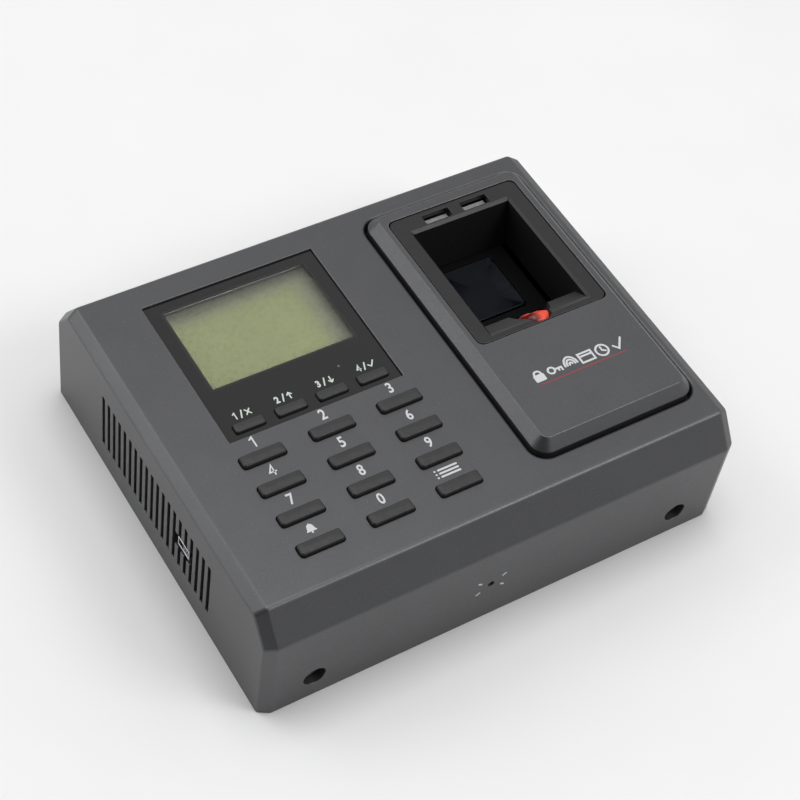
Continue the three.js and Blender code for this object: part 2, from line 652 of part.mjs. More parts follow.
// ---------------------------------------------------------------- back
function rearPosts() {
  return [
    {
      across: [MAIN_BOARD.lowX + 14, MAIN_BOARD.highX - 6],
      along: [-48, 48],
      topZ: MAIN_BOARD.z - GAP,
    },
    {
      across: [READER.x - SENSOR_BOARD.width / 2 + 3, READER.x + SENSOR_BOARD.width / 2 - 3],
      along: [SENSOR.y - SENSOR_BOARD.height / 2 + 3.5, SENSOR.y + SENSOR_BOARD.height / 2 - 3.5],
      topZ: SENSOR.lowZ - 2 * GAP - BOARD,
    },
  ];
}

function rearCover() {
  const { z, thickness, halfWidth, halfHeight, postRadius } = REAR_COVER;
  const pastZ = z + thickness + PAST;
  let solid = block(-halfWidth, halfWidth, -halfHeight, halfHeight, z, z + thickness);
  for (const { across, along, topZ } of rearPosts()) {
    for (const x of across) {
      for (const y of along) {
        solid = solid.add(rod(x, y, postRadius, z + PAST, topZ, 8));
      }
    }
  }
  solid = solid.subtract(block(WIRING.lowX, WIRING.highX, WIRING.lowY, WIRING.highY, 0, pastZ));
  solid = solid.subtract(rod(TAMPER.x, TAMPER.y, TAMPER.radius + 2 * GAP, 0, pastZ, 16));
  for (const x of [-HOUSING_SCREW.x, HOUSING_SCREW.x]) {
    for (const y of [-HOUSING_SCREW.y, HOUSING_SCREW.y]) {
      solid = solid.subtract(rod(x, y, HOUSING_SCREW.pilotRadius, 0, pastZ, 8));
    }
  }
  return solid;
}

function housingScrew(sideX, sideY) {
  const { headRadius, headHeight, shankRadius, shankHighZ, crossLength, crossWidth } = HOUSING_SCREW;
  const x = sideX * HOUSING_SCREW.x;
  const y = sideY * HOUSING_SCREW.y;
  const headTopZ = REAR_COVER.z - GAP;
  const head = rod(x, y, headRadius, headTopZ - headHeight, headTopZ, 16);
  const shank = rod(x, y, shankRadius, headTopZ - headHeight / 3, shankHighZ, 10);
  const arm = slab(x, y, crossLength, crossWidth, 0, headTopZ - 0.6 * headHeight);
  const otherArm = slab(x, y, crossWidth, crossLength, 0, headTopZ - 0.6 * headHeight);
  return head.add(shank).subtract(arm).subtract(otherArm);
}

// The steel plate screws to the wall, hooks the housing at the top and takes the two security screws.
function wallPlate() {
  const { thickness, halfWidth, halfHeight } = PLATE;
  let solid = block(-halfWidth, halfWidth, -halfHeight, halfHeight, 0, thickness);
  for (const x of securityScrewSides()) {
    solid = solid.add(block(x - TAB.width / 2, x + TAB.width / 2, TAB.y, TAB.y + TAB.thickness,
      thickness / 2, TAB.highZ));
    solid = solid.subtract(rodAlongY(x, SECURITY_SCREW.z, SECURITY_SCREW.shankRadius + GAP,
      TAB.y - PAST, TAB.y + TAB.thickness + PAST, 12));
  }
  for (const x of [-HOOK.x, HOOK.x]) {
    solid = solid.add(block(x - HOOK.width / 2, x + HOOK.width / 2, -TAB.y - TAB.thickness, -TAB.y,
      thickness / 2, HOOK.highZ));
  }
  solid = solid.subtract(block(WIRING.lowX, WIRING.highX, WIRING.lowY, WIRING.highY,
    -PAST, thickness + PAST));
  solid = solid.subtract(rod(TAMPER.x, TAMPER.y, TAMPER.radius + 1, -PAST, thickness + PAST, 16));
  for (const x of [-PLATE_HOLE.x, PLATE_HOLE.x]) {
    for (const y of [-PLATE_HOLE.y, PLATE_HOLE.y]) {
      solid = solid.subtract(roundedSlab(x, y, PLATE_HOLE.length, PLATE_HOLE.width,
        PLATE_HOLE.width / 2 - 0.01, -PAST, thickness + PAST, 3));
    }
  }
  return solid;
}

function securityScrew(x) {
  const headY = counterboreEndY() - GAP;
  const head = rodAlongY(x, SECURITY_SCREW.z, SECURITY_SCREW.headRadius, headY - 1.8, headY, 20);
  const shank = rodAlongY(x, SECURITY_SCREW.z, SECURITY_SCREW.shankRadius, headY - 0.5,
    TAB.y + 2.6 * TAB.thickness, 12);
  const socket = rodAlongY(x, SECURITY_SCREW.z, SECURITY_SCREW.socket, headY - 3, headY - 0.7, 6);
  return head.add(shank).subtract(socket);
}

// ---------------------------------------------------------------- assembly
place('front_housing', frontHousing(), 'housing');
place('rear_cover', rearCover(), 'black');
place('wall_plate', wallPlate(), 'zinc');
place('security_screw_left', securityScrew(-SECURITY_SCREW.x), 'steel');
place('security_screw_right', securityScrew(SECURITY_SCREW.x), 'steel');
place('housing_screw_1', housingScrew(-1, -1), 'steel');
place('housing_screw_2', housingScrew(1, -1), 'steel');
place('housing_screw_3', housingScrew(1, 1), 'steel');
place('housing_screw_4', housingScrew(-1, 1), 'steel');

place('display_panel', displayPanel(), 'panel');
place('display_window', displayWindow(), 'clear');
place('lcd_frame', lcdFrame(), 'grey');
place('lcd_glass', lcdGlass(), 'lcd');
place('lcd_backlight', lcdBacklight(), 'clear');
place('lcd_board', lcdBoard(), 'board');

functionKeyPlaces().forEach(({ x, y }, i) => {
  const cap = keyCap(FUNCTION_KEY, x, y, PANEL_TOP_Z + FUNCTION_KEY.rise, CEILING_Z - GAP);
  place(FUNCTION_KEY_NAMES[i], cap, 'key');
});
keyPlaces().forEach(({ x, y }, i) => {
  place(KEY_NAMES[i], keyCap(KEY, x, y, FACE_Z + KEY.rise, CEILING_Z - GAP), 'key');
});
place('keypad_mat', keypadMat(), 'rubber');
place('keypad_board', keypadBoard(), 'board');

place('reader_cover', readerCover(), 'cover');
place('reader_bezel', readerBezel(), 'bezel');
place('reader_tongue', readerTongue(), 'glow');
place('light_pipe_left', lightPipe(-1), 'frost');
place('light_pipe_right', lightPipe(1), 'frost');
place('sensor_platen', sensorPlaten(), 'glass');
place('sensor_housing', sensorHousing(), 'black');
place('sensor_board', sensorBoard(), 'board');
place('sensor_cable', sensorCable(), 'cable');

place('main_board', mainBoard(), 'board');
place('display_cable', displayCable(), 'cable');
place('processor', boardBlock(PROCESSOR), 'black');
place('buzzer', boardRod(BUZZER), 'black');
place('coin_cell', boardRod(COIN_CELL), 'steel');
place('relay', boardBlock(RELAY), 'black');
place('usb_socket', usbSocket(), 'steel');
place('network_jack', networkJack(), 'steel');
place('lock_terminal_block', terminalBlock(LOCK_TERMINALS), 'green');
place('power_terminal_block', terminalBlock(POWER_TERMINALS), 'green');
place('reset_switch', resetSwitch(), 'black');
place('reset_button', resetButton(), 'frost');
place('tamper_switch', tamperSwitch(), 'black');
place('tamper_plunger', tamperPlunger(), 'frost');

export default terminal;
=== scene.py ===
"""Fingerprint access terminal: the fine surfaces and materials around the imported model.

Lengths in this script are millimetres until a mesh is made; MM turns them into metres.
X runs along the width, Y towards the upper edge, and Z out of the face.
"""

import math

import bmesh
import bpy
from mathutils import Matrix, Vector


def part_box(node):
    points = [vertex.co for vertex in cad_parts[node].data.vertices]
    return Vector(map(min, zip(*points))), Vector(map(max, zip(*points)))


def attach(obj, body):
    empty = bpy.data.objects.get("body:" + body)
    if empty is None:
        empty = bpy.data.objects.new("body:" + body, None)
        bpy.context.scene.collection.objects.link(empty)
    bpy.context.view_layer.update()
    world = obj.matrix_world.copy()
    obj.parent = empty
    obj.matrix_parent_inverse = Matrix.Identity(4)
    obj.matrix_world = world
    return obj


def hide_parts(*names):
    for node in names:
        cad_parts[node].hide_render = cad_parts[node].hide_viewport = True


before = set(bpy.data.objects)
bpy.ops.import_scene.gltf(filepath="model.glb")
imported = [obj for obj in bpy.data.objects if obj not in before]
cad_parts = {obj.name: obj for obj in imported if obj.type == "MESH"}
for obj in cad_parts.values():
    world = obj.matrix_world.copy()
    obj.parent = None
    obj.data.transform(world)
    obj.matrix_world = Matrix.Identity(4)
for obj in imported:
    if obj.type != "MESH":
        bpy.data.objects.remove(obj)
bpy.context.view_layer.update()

MM = 0.001
BODY = "terminal"
CLEARANCE = 0.3  # the gap between a piece and its opening
PAST = 1.0  # how far a cutter or a joined body reaches past a surface


def box_mm(node):
    low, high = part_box(node)
    return low / MM, high / MM


# ---- sizes taken from the frame
HOUSING_LOW, HOUSING_HIGH = box_mm("front_housing")
COVER_LOW, COVER_HIGH = box_mm("reader_cover")
BEZEL_LOW, BEZEL_HIGH = box_mm("reader_bezel")
PANEL_LOW, PANEL_HIGH = box_mm("display_panel")
WINDOW_LOW, WINDOW_HIGH = box_mm("display_window")
SOCKET_LOW, SOCKET_HIGH = box_mm("usb_socket")
TONGUE_LOW, TONGUE_HIGH = box_mm("reader_tongue")
PLATEN_LOW, PLATEN_HIGH = box_mm("sensor_platen")
RESET_LOW, RESET_HIGH = box_mm("reset_button")
FACE_Z = HOUSING_HIGH.z
HALF_WIDTH = HOUSING_HIGH.x
HALF_HEIGHT = HOUSING_HIGH.y
READER_X = (COVER_LOW.x + COVER_HIGH.x) / 2
DISPLAY_X = (PANEL_LOW.x + PANEL_HIGH.x) / 2
RESET_X, RESET_Z = (RESET_LOW.x + RESET_HIGH.x) / 2, (RESET_LOW.z + RESET_HIGH.z) / 2

# ---- sizes of the shapes
WALL = 3.0
EDGE_SLOPE = {"run": 8.6, "low_z": 37.6}
END_BEVEL = {"along": 3.9, "inset": 2.3}
HOUSING_FILLET = {"slope": 2.2, "base": 0.4, "end": 1.3, "shoulder": 2.0, "inside": 0.3}
VENT = {"count": 20, "pitch": 3.94, "width": 1.9, "low_z": 10.5, "high_z": 35.5, "radius": 0.45}
PORT = {"width": 10.6, "height": 6.6, "radius": 0.8}
SCREW = {"x": 71.0, "z": 11.0, "head": 3.4, "head_depth": 1.8, "dome": 0.9, "shank": 1.6, "socket": 1.7}
SCREW_HOLE = {"bore": 4.0, "depth": 4.5, "land": 7.0, "land_depth": 6.3, "shank_depth": 8.0}
PINHOLE_RADIUS = 1.2
LIP = 1.1
GROOVE = {"width": 0.85, "depth": 6.0, "radius": 6.4, "shift": 0.25}
COVER = {"radius": 6.0, "bevel": 3.4, "rise": 3.9, "wall": 2.5, "fillet": 0.55}
BEZEL = {"radius": 2.5, "plate": 2.0, "room": 0.5}
WELL = {"half_width": 19.8, "low_y": -7.4, "high_y": 44.4, "chamfer": 0.85, "wall": 2.0, "lean": 4}
RAMP = {"run": 7.5, "drop": 4.5, "fall_run": 3}
NOTCH = {"radius": 8.5, "y": 2.5, "lip": ((0, -4.2), (0.9, -0.4), (1.2, PAST))}
LIGHT_SLOT = {"width": 10.8, "height": 4.0, "offset": 7.8, "y": 47.9}
TONGUE = {"radius": 3.4, "flat": 3.2, "drop": 7.0, "edge": 3.2, "edge_fall": 1.6}
PLATEN = {"radius": 1.7, "edge": 0.5, "rim": 0.6, "hollow": 1.2}
PANEL_LEDGE = 1.2
FLANGE = {"lip": 1.1, "thickness": 0.9, "radius": 0.3}
KEY_HOLE_RADIUS = 1.3
KEY_CAP = {"radius": 1.0, "crown": 0.45, "edge": 0.75}
FUNCTION_KEY_CAP = {"radius": 0.8, "crown": 0.3, "edge": 0.6}
INK = 0.03
NUMERAL = {"height": 4.3, "squeeze": 0.8, "bold": 0.02}
FUNCTION_NUMERAL = {"height": 2.8, "squeeze": 0.85, "bold": 0.04}
# How far above the middle of its key each mark is printed.
NUMERAL_RISE, SIGN_RISE, FUNCTION_SIGN_RISE = 6.4, 6.3, 5.1

KEYS = [f"key_{n}" for n in (1, 2, 3, 4, 5, 6, 7, 8, 9, "bell", 0, "menu")]
FUNCTION_KEYS = [f"function_key_{n}" for n in ("back", "up", "down", "ok")]


# ---- outlines
def corner_arc(before, corner, after, radius, steps):
    """The points of the arc that rounds one corner of an outline."""
    back = (before - corner).normalized()
    ahead = (after - corner).normalized()
    half = back.angle(ahead) / 2
    centre = corner + (back + ahead).normalized() * (radius / math.sin(half))
    start = corner + back * (radius / math.tan(half)) - centre
    end = corner + ahead * (radius / math.tan(half)) - centre
    sweep = math.atan2(start.x * end.y - start.y * end.x, start.dot(end))
    return [centre + Matrix.Rotation(sweep * i / steps, 2) @ start for i in range(steps + 1)]


def rounded(corners, radii, steps):
    """A closed outline whose corners are arcs."""
    points = []
    for i, corner in enumerate(corners):
        following = corners[(i + 1) % len(corners)]
        points += corner_arc(corners[i - 1], corner, following, radii[i], steps)
    return points


def rounded_rect(x, y, width, height, radius, steps=6):
    across, up = width / 2, height / 2
    signs = ((-1, -1), (1, -1), (1, 1), (-1, 1))
    corners = [Vector((x + sx * across, y + sy * up)) for sx, sy in signs]
    return rounded(corners, [max(radius, 0.02)] * 4, steps)


def circle(x, y, radius, steps=40):
    turns = [2 * math.pi * i / steps for i in range(steps)]
    return [Vector((x + radius * math.cos(t), y + radius * math.sin(t))) for t in turns]


def polygon_ring(x, y, radius, sides, steps=42):
    """A regular polygon with as many points as a circle of the same steps has."""
    points = []
    part = math.pi / sides
    for i in range(steps):
        turn = 2 * math.pi * i / steps
        reach = radius * math.cos(part) / math.cos((turn + part) % (2 * part) - part)
        points.append(Vector((x + reach * math.cos(turn), y + reach * math.sin(turn))))
    return points


def box_outline(low, high, radius, margin=0.0, steps=4):
    """outline(grow) of a rounded rectangle that reaches past two corners by margin."""
    edge = Vector((margin, margin))
    low, high = low.xy - edge, high.xy + edge
    middle, size = (low + high) / 2, high - low
    return lambda grow: rounded_rect(*middle, size.x + 2 * grow, size.y + 2 * grow, radius + grow, steps)


def round_outline(x, y, radius, steps=40):
    """outline(grow) of a circle."""
    return lambda grow: circle(x, y, radius + grow, steps)


def reader_outline(margin, shift, radius):
    """outline(grow) round the reader cover, wider than it by margin and moved left and forward."""
    x, y = READER_X - shift, (COVER_LOW.y + COVER_HIGH.y) / 2 - shift
    width = COVER_HIGH.x - COVER_LOW.x + 2 * margin
    height = COVER_HIGH.y - COVER_LOW.y + 2 * margin
    return lambda grow: rounded_rect(x, y, width + 2 * grow, height + 2 * grow, radius + grow, 10)


def quarter_turns(steps):
    """The sine and cosine at equal steps of a quarter turn."""
    turns = [math.pi / 2 * i / steps for i in range(steps + 1)]
    return [(math.sin(t), math.cos(t)) for t in turns]


def fillet_path(low, high, radius, steps=4):
    """(grow, level) pairs of a wall that goes up from low and rounds inwards by radius at high."""
    return [(0, low)] + [(-radius * (1 - c), high - radius * (1 - s)) for s, c in quarter_turns(steps)]


def flare_path(depth, radius, steps=5):
    """(grow, level) pairs of a cutter that leaves a rounded lip of that radius round its hole."""

    turns = enumerate(quarter_turns(steps))
    lip = [(radius * (1 - c), radius * (s - 1) + 0.002 * i / steps) for i, (s, c) in turns]
    return [(0.0, -depth), *lip, (radius, PAST)]


# ---- planes that shapes are drawn on
class Plane:
    """A drawing plane: u and v lie in it, and w comes out of it."""

    def __init__(self, origin, u, v):
        self.origin = Vector(origin)
        self.u = Vector(u)
        self.v = Vector(v)
        self.w = self.u.cross(self.v)

    def point(self, flat, level):
        return self.origin + self.u * flat[0] + self.v * flat[1] + self.w * level


def level_plane(z):
    return Plane((0, 0, z), (1, 0, 0), (0, 1, 0))


GROUND = level_plane(0)
FACE = level_plane(FACE_Z)
LEFT_WALL = Plane((-HALF_WIDTH, 0, 0), (0, -1, 0), (0, 0, 1))
FRONT_WALL = Plane((0, -HALF_HEIGHT, 0), (1, 0, 0), (0, 0, 1))
SECTION = Plane((0, 0, 0), (0, 1, 0), (0, 0, 1))


# ---- meshes
def cleaned(data, distance):
    """Welds the points of a mesh that are closer than distance, and turns its faces outwards."""
    work = bmesh.new()
    work.from_mesh(data)
    bmesh.ops.remove_doubles(work, verts=work.verts, dist=distance * MM)
    bmesh.ops.recalc_face_normals(work, faces=work.faces)
    work.to_mesh(data)
    work.free()
    return data


def lofted(plane, outline, pairs):
    """Rings of outline(grow) at the levels of the (grow, level) pairs."""
    return [[plane.point(p, level) for p in outline(grow)] for grow, level in pairs]


class Shape:
    """Points in millimetres and the faces between them."""

    def __init__(self):
        self.points = []
        self.faces = []

    def add_sides(self, rings, joins):
        """The faces between rings of equal length, for as many steps as joins says."""
        start, count = len(self.points), len(rings[0])
        for ring in rings:
            self.points += ring
        for level in range(joins):
            base = start + level * count
            above = start + (level + 1) % len(rings) * count
            for i in range(count):
                j = (i + 1) % count
                self.faces.append((base + i, base + j, above + j, above + i))
        return start, count

    def add_loft(self, rings):
        """A closed body through the rings, with a flat cap at each end."""
        start, count = self.add_sides(rings, len(rings) - 1)
        last = start + (len(rings) - 1) * count
        self.faces.append(tuple(range(start + count - 1, start - 1, -1)))
        self.faces.append(tuple(range(last, last + count)))
        return self

    def add_solid(self, plane, outline, pairs):
        """A closed body with outline(grow) at the level of each (grow, level) pair."""
        return self.add_loft(lofted(plane, outline, pairs))

    def add_band(self, rings):
        """A closed ring-shaped body: the last of its rings joins the first."""
        self.add_sides(rings, len(rings))
        return self

    def mesh(self, name):
        data = bpy.data.meshes.new(name)
        data.from_pydata([point * MM for point in self.points], [], self.faces)
        return cleaned(data, 0.002)


def solid(plane, outline, pairs):
    return Shape().add_solid(plane, outline, pairs)


def placed(name, data):
    """A new object in the scene."""
    piece = bpy.data.objects.new(name, data)
    bpy.context.scene.collection.objects.link(piece)
    return piece


def evaluated_mesh(piece):
    """The mesh of a text, or of a shape with its modifiers."""
    bpy.context.view_layer.update()
    evaluated = piece.evaluated_get(bpy.context.evaluated_depsgraph_get())
    return bpy.data.meshes.new_from_object(evaluated)


def combine(piece, shape, operation):
    """Cuts shape out of piece, or joins it on."""
    other = placed("tool", shape.mesh("tool"))
    boolean = piece.modifiers.new(operation, "BOOLEAN")
    boolean.operation = operation
    boolean.solver = "MANIFOLD"
    boolean.object = other
    data = evaluated_mesh(piece)
    piece.modifiers.clear()
    piece.data = data
    bpy.data.objects.remove(other)


def cut(piece, *shapes):
    for shape in shapes:
        combine(piece, shape, "DIFFERENCE")


def smooth(piece, angle):
    """Soft shading across fillets, with flat faces kept flat."""
    piece.data.shade_smooth()
    piece.data.set_sharp_from_angle(angle=math.radians(angle))
    weighted = piece.modifiers.new("weighted", "WEIGHTED_NORMAL")
    weighted.keep_sharp = True


def finish_piece(piece, material, body=BODY):
    piece.data.materials.clear()
    piece.data.materials.append(material)
    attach(piece, body)
    return piece


def stand_in(piece, node, slot, body=BODY, angle=32):
    """Shades a shaped piece and puts it in the place of a CAD node."""
    smooth(piece, angle)
    finish_piece(piece, MATERIALS[slot], body)
    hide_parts(node)


# ---- material nodes
class Nodes:
    """The nodes of a material or of the world."""

    def __init__(self, owner):
        owner.use_nodes = True
        self.tree = owner.node_tree

    def fill(self, node, values):
        for name, value in values.items():
            node.inputs[name.replace("_", " ")].default_value = value

    def add(self, kind, operation=None, **values):
        node = self.tree.nodes.new("ShaderNode" + kind)
        if operation:
            node.operation = operation
        self.fill(node, values)
        return node

    def put(self, value, socket):
        """Sets a socket to a number or a colour, or links another node's output to it."""
        if isinstance(value, (int, float, tuple, Vector)):
            socket.default_value = value
        else:
            self.tree.links.new(value, socket)

    def ramp(self, source, low, high, low_value=0.0, high_value=1.0):
        node = self.add("MapRange", From_Min=low, From_Max=high, To_Min=low_value, To_Max=high_value)
        node.interpolation_type = "SMOOTHSTEP"
        self.put(source, node.inputs["Value"])
        return node.outputs[0]

    def maths(self, operation, first, second):
        node = self.add("Math", operation)
        self.put(first, node.inputs[0])
        self.put(second, node.inputs[1])
        return node.outputs[0]

    def dot(self, first, second):
        node = self.add("VectorMath", "DOT_PRODUCT")
        self.put(first, node.inputs[0])
        self.put(second, node.inputs[1])
        return node.outputs["Value"]


class Graph(Nodes):
    """A material under construction: most methods add one node and return its output socket."""

    def __init__(self, name, **values):
        self.material = bpy.data.materials.new(name)
        super().__init__(self.material)
        self.shader = self.tree.nodes["Principled BSDF"]
        self.fill(self.shader, values)
        scale = self.add("VectorMath", "SCALE", Scale=1 / MM)
        self.put(self.add("TexCoord").outputs["Object"], scale.inputs[0])
        self.millimetres = scale.outputs[0]

    def feed(self, socket, source):
        self.put(source, self.shader.inputs[socket])

    def finish(self, colour, normal, roughness=None):
        """Feeds the shader and returns the material."""
        self.feed("Base Color", colour)
        self.feed("Normal", normal)
        if roughness is not None:
            self.feed("Roughness", roughness)
        return self.material

    def noise(self, scale, detail=3, roughness=0.6):
        node = self.add("TexNoise", Scale=scale, Detail=detail, Roughness=roughness)
        self.put(self.millimetres, node.inputs["Vector"])
        return node.outputs["Fac"]

    def stretched_noise(self, scale, stretch, detail=3):
        """Noise drawn out along some axes, as brushing and moulding flow are."""
        mapping = self.add("Mapping", Scale=stretch)
        self.put(self.millimetres, mapping.inputs["Vector"])
        node = self.add("TexNoise", Scale=scale, Detail=detail)
        self.put(mapping.outputs[0], node.inputs["Vector"])
        return node.outputs["Fac"]

    def cells(self, scale, output="Distance", randomness=1.0):
        node = self.add("TexVoronoi", Scale=scale, Randomness=randomness)
        self.put(self.millimetres, node.inputs["Vector"])
        return node.outputs[output]

    def cloud(self, scale, detail, low, high, low_value=0.0, high_value=1.0):
        """Noise spread between two values."""
        return self.ramp(self.noise(scale, detail), low, high, low_value, high_value)

    def mix(self, factor, first, second):
        node = self.add("Mix")
        node.data_type = "RGBA"
        self.put(factor, node.inputs["Factor"])
        self.put(first, node.inputs[6])
        self.put(second, node.inputs[7])
        return node.outputs[2]

    def axis(self, name):
        node = self.add("SeparateXYZ")
        self.put(self.millimetres, node.inputs[0])
        return node.outputs[name]

    def edges(self, radius, low, high):
        """1 on worn edges and 0 on flat faces, broken up by noise."""
        bevel = self.add("Bevel", Radius=radius * MM)
        bevel.samples = 4
        normal = self.add("NewGeometry").outputs["Normal"]
        bend = self.ramp(self.dot(bevel.outputs[0], normal), high, low)
        return self.maths("MULTIPLY", bend, self.cloud(0.9, 4, 0.35, 0.7))

    def bump(self, height, strength, distance, under=None):
        node = self.add("Bump", Strength=strength, Distance=distance * MM)
        self.put(height, node.inputs["Height"])
        if under is not None:
            self.put(under, node.inputs["Normal"])
        return node.outputs[0]

    def grain(self, scale, detail, strength, distance, under=None):
        return self.bump(self.noise(scale, detail), strength, distance, under)


COOL = (0.98, 0.99, 1.03)
WARM = (1.03, 1.0, 0.95)
NEUTRAL = (1.0, 1.0, 1.0)


def grey(value, tint=NEUTRAL):
    return (value * tint[0], value * tint[1], value * tint[2], 1.0)


def moulded_plastic(name, base, roughness, metallic=0.0, grain=0.2, sparkle=0.0, wear=0.0, tint=COOL):
    """Moulded plastic: fine grain, soft mottling, optional metallic flecks and worn edges."""
    graph = Graph(name, Metallic=metallic, Specular_IOR_Level=0.5)
    mottle = graph.cloud(0.06, 4, 0.35, 0.65)
    colour = graph.mix(mottle, grey(base * 0.975, tint), grey(base * 1.025, tint))
    speckle = graph.cloud(3.2, 2, 0.3, 0.75, 0.0, 0.5)
    colour = graph.mix(speckle, colour, grey(base * 1.35, tint))
    if sparkle:
        chosen = graph.cloud(1.7, 1, 0.56, 0.62)
        fleck = graph.maths("MULTIPLY", graph.ramp(graph.cells(2.6), 0.16, 0.08), chosen)
        colour = graph.mix(fleck, colour, grey(min(1.0, base + sparkle), tint))
    rough = graph.cloud(1.4, 4, 0.3, 0.7, roughness - 0.03, roughness + 0.03)
    if wear:
        worn = graph.edges(0.7, 0.9, 0.995)
        colour = graph.mix(graph.maths("MULTIPLY", worn, wear), colour, grey(min(1.0, base * 2.6), WARM))
        rough = graph.maths("SUBTRACT", rough, graph.maths("MULTIPLY", worn, 0.08))
    coarse = graph.grain(2.4, 3, grain, 0.05)
    return graph.finish(colour, graph.grain(7.5, 2, grain * 0.8, 0.02, coarse), rough)


def glossy_plastic(name, base, roughness, tint=COOL):
    """Smooth dark plastic with faint dust, fine scratches and slow unevenness."""
    graph = Graph(name, Specular_IOR_Level=0.5)
    dust = graph.cloud(5.0, 4, 0.62, 0.78, 0.0, 0.35)
    film = graph.cloud(0.08, 4, 0.4, 0.7, 0.0, 0.2)
    colour = graph.mix(dust, grey(base, tint), grey(base + 0.03, WARM))
    colour = graph.mix(film, colour, grey(base * 1.4 + 0.003, tint))
    scratches = graph.ramp(graph.stretched_noise(1.0, (0.15, 6.0, 1.0)), 0.6, 0.72, 0.0, 0.06)
    rough = graph.maths("ADD", graph.cloud(0.25, 4, 0.3, 0.7, roughness, roughness + 0.07), scratches)
    return graph.finish(colour, graph.grain(0.3, 2, 0.08, 0.05), rough)


def soft_rubber(name, base, roughness=0.6, specular=0.5):
    """Silicone and other dull black surfaces, rubbed in places."""
    graph = Graph(name, Specular_IOR_Level=specular, Sheen_Weight=0.02)
    rubbed = graph.cloud(0.5, 4, 0.35, 0.7)
    colour = graph.mix(rubbed, grey(base * 0.9, COOL), grey(base * 1.12, COOL))
    colour = graph.mix(graph.cloud(6.0, 2, 0.66, 0.76, 0.0, 0.3), colour, grey(base * 2.0))
    rough = graph.cloud(0.8, 4, 0.3, 0.7, roughness - 0.08, roughness + 0.06)
    return graph.finish(colour, graph.grain(9.0, 3, 0.22, 0.02), rough)


def metal(name, base, roughness, stretch, tint=COOL, patches=0.0):
    """Metal with drawn-out brushing, and for zinc plating also pale patches."""
    graph = Graph(name, Metallic=1.0)
    lines = graph.stretched_noise(2.0, stretch, 4)
    colour = graph.mix(graph.ramp(lines, 0.3, 0.7), grey(base * 0.86, tint), grey(min(1.0, base * 1.1), tint))
    if patches:
        bloom = graph.ramp(graph.cells(0.16, "Color"), 0.0, 1.0, 0.0, patches)
        colour = graph.mix(bloom, colour, grey(min(1.0, base * 1.25), WARM))
    colour = graph.mix(graph.cloud(0.09, 5, 0.55, 0.75, 0.0, 0.35), colour, grey(base * 0.6, WARM))
    rough = graph.ramp(lines, 0.25, 0.75, roughness - 0.07, roughness + 0.1)
    return graph.finish(colour, graph.bump(lines, 0.15, 0.02), rough)


def circuit_board(name):
    """Green solder mask with tracks showing through and small tinned pads."""
    graph = Graph(name, Specular_IOR_Level=0.5)
    tracks = graph.ramp(graph.cells(0.5, "Distance", 0.25), 0.42, 0.5)
    colour = graph.mix(tracks, (0.012, 0.085, 0.035, 1.0), (0.022, 0.15, 0.055, 1.0))
    pads = graph.ramp(graph.cells(0.4, "Distance", 0.0), 0.2, 0.16)
    graph.feed("Metallic", pads)
    colour = graph.mix(pads, colour, (0.55, 0.52, 0.44, 1.0))
    return graph.finish(colour, graph.bump(tracks, 0.3, 0.03), graph.cloud(0.7, 4, 0.3, 0.7, 0.28, 0.42))


def ink(name, colour):
    """Screen-printed ink, a little thin in places."""
    graph = Graph(name, Specular_IOR_Level=0.4)
    faded = graph.mix(graph.cloud(4.0, 3, 0.45, 0.75, 0.0, 0.25), (*colour, 1.0), grey(0.6, colour))
    rough = graph.cloud(2.0, 3, 0.3, 0.7, 0.45, 0.6)
    return graph.finish(faded, graph.grain(8.0, 2, 0.2, 0.01), rough)


def display_glass(name):
    """The unlit display: yellow-green, with the faint grid of its dots, and painted shadow at its right and
    upper edges, where the window's rim shades it.
    """
    graph = Graph(name, Specular_IOR_Level=0.4)
    dot = 0.41
    rows = graph.maths("PINGPONG", graph.axis("X"), dot / 2)
    columns = graph.maths("PINGPONG", graph.axis("Y"), dot / 2)
    gap = graph.ramp(graph.maths("MINIMUM", rows, columns), 0.015, 0.04, 1.0, 0.0)
    pale, dark = (0.172, 0.19, 0.078, 1.0), (0.157, 0.174, 0.07, 1.0)
    glow = graph.mix(graph.cloud(0.03, 3, 0.35, 0.65), pale, dark)
    glow = graph.mix(graph.maths("MULTIPLY", gap, 0.1), glow, (0.2, 0.22, 0.1, 1.0))
    # Painted shadow: the colour darkens towards the right and upper edges of the window.
    right = graph.ramp(graph.axis("X"), WINDOW_HIGH.x - 11.0, WINDOW_HIGH.x - 2.0)
    upper = graph.ramp(graph.axis("Y"), WINDOW_HIGH.y - 9.0, WINDOW_HIGH.y - 1.5)
    painted_edge_shadow = graph.maths("MULTIPLY", graph.maths("MAXIMUM", right, upper), 0.8)
    colour = graph.mix(painted_edge_shadow, glow, (0.09, 0.095, 0.07, 1.0))
    rough = graph.cloud(0.6, 3, 0.3, 0.7, 0.24, 0.34)
    return graph.finish(colour, graph.grain(3.0, 2, 0.05, 0.01), rough)


def clear_pane(name, tint, roughness):
    """Clear acrylic with light smears and a little dust."""
    graph = Graph(name, Transmission_Weight=1.0, IOR=1.49)
    smear = graph.cloud(0.07, 5, 0.45, 0.75, roughness, roughness + 0.05)
    colour = graph.mix(graph.cloud(4.0, 4, 0.6, 0.8, 0.0, 0.2), tint, grey(0.8))
    return graph.finish(colour, graph.grain(0.2, 2, 0.03, 0.05), smear)


def milky_plastic(name, base):
    """Translucent white plastic that spreads the light behind it."""
    graph = Graph(name, Specular_IOR_Level=0.5, Subsurface_Weight=0.25)
    graph.fill(graph.shader, {"Subsurface Radius": (MM, MM, MM), "Subsurface Scale": 1.0})
    colour = graph.mix(graph.cloud(0.9, 4, 0.3, 0.7), grey(base * 0.85), grey(base * 1.1))
    rough = graph.cloud(1.6, 3, 0.3, 0.7, 0.34, 0.46)
    return graph.finish(colour, graph.grain(3.5, 3, 0.12, 0.03), rough)


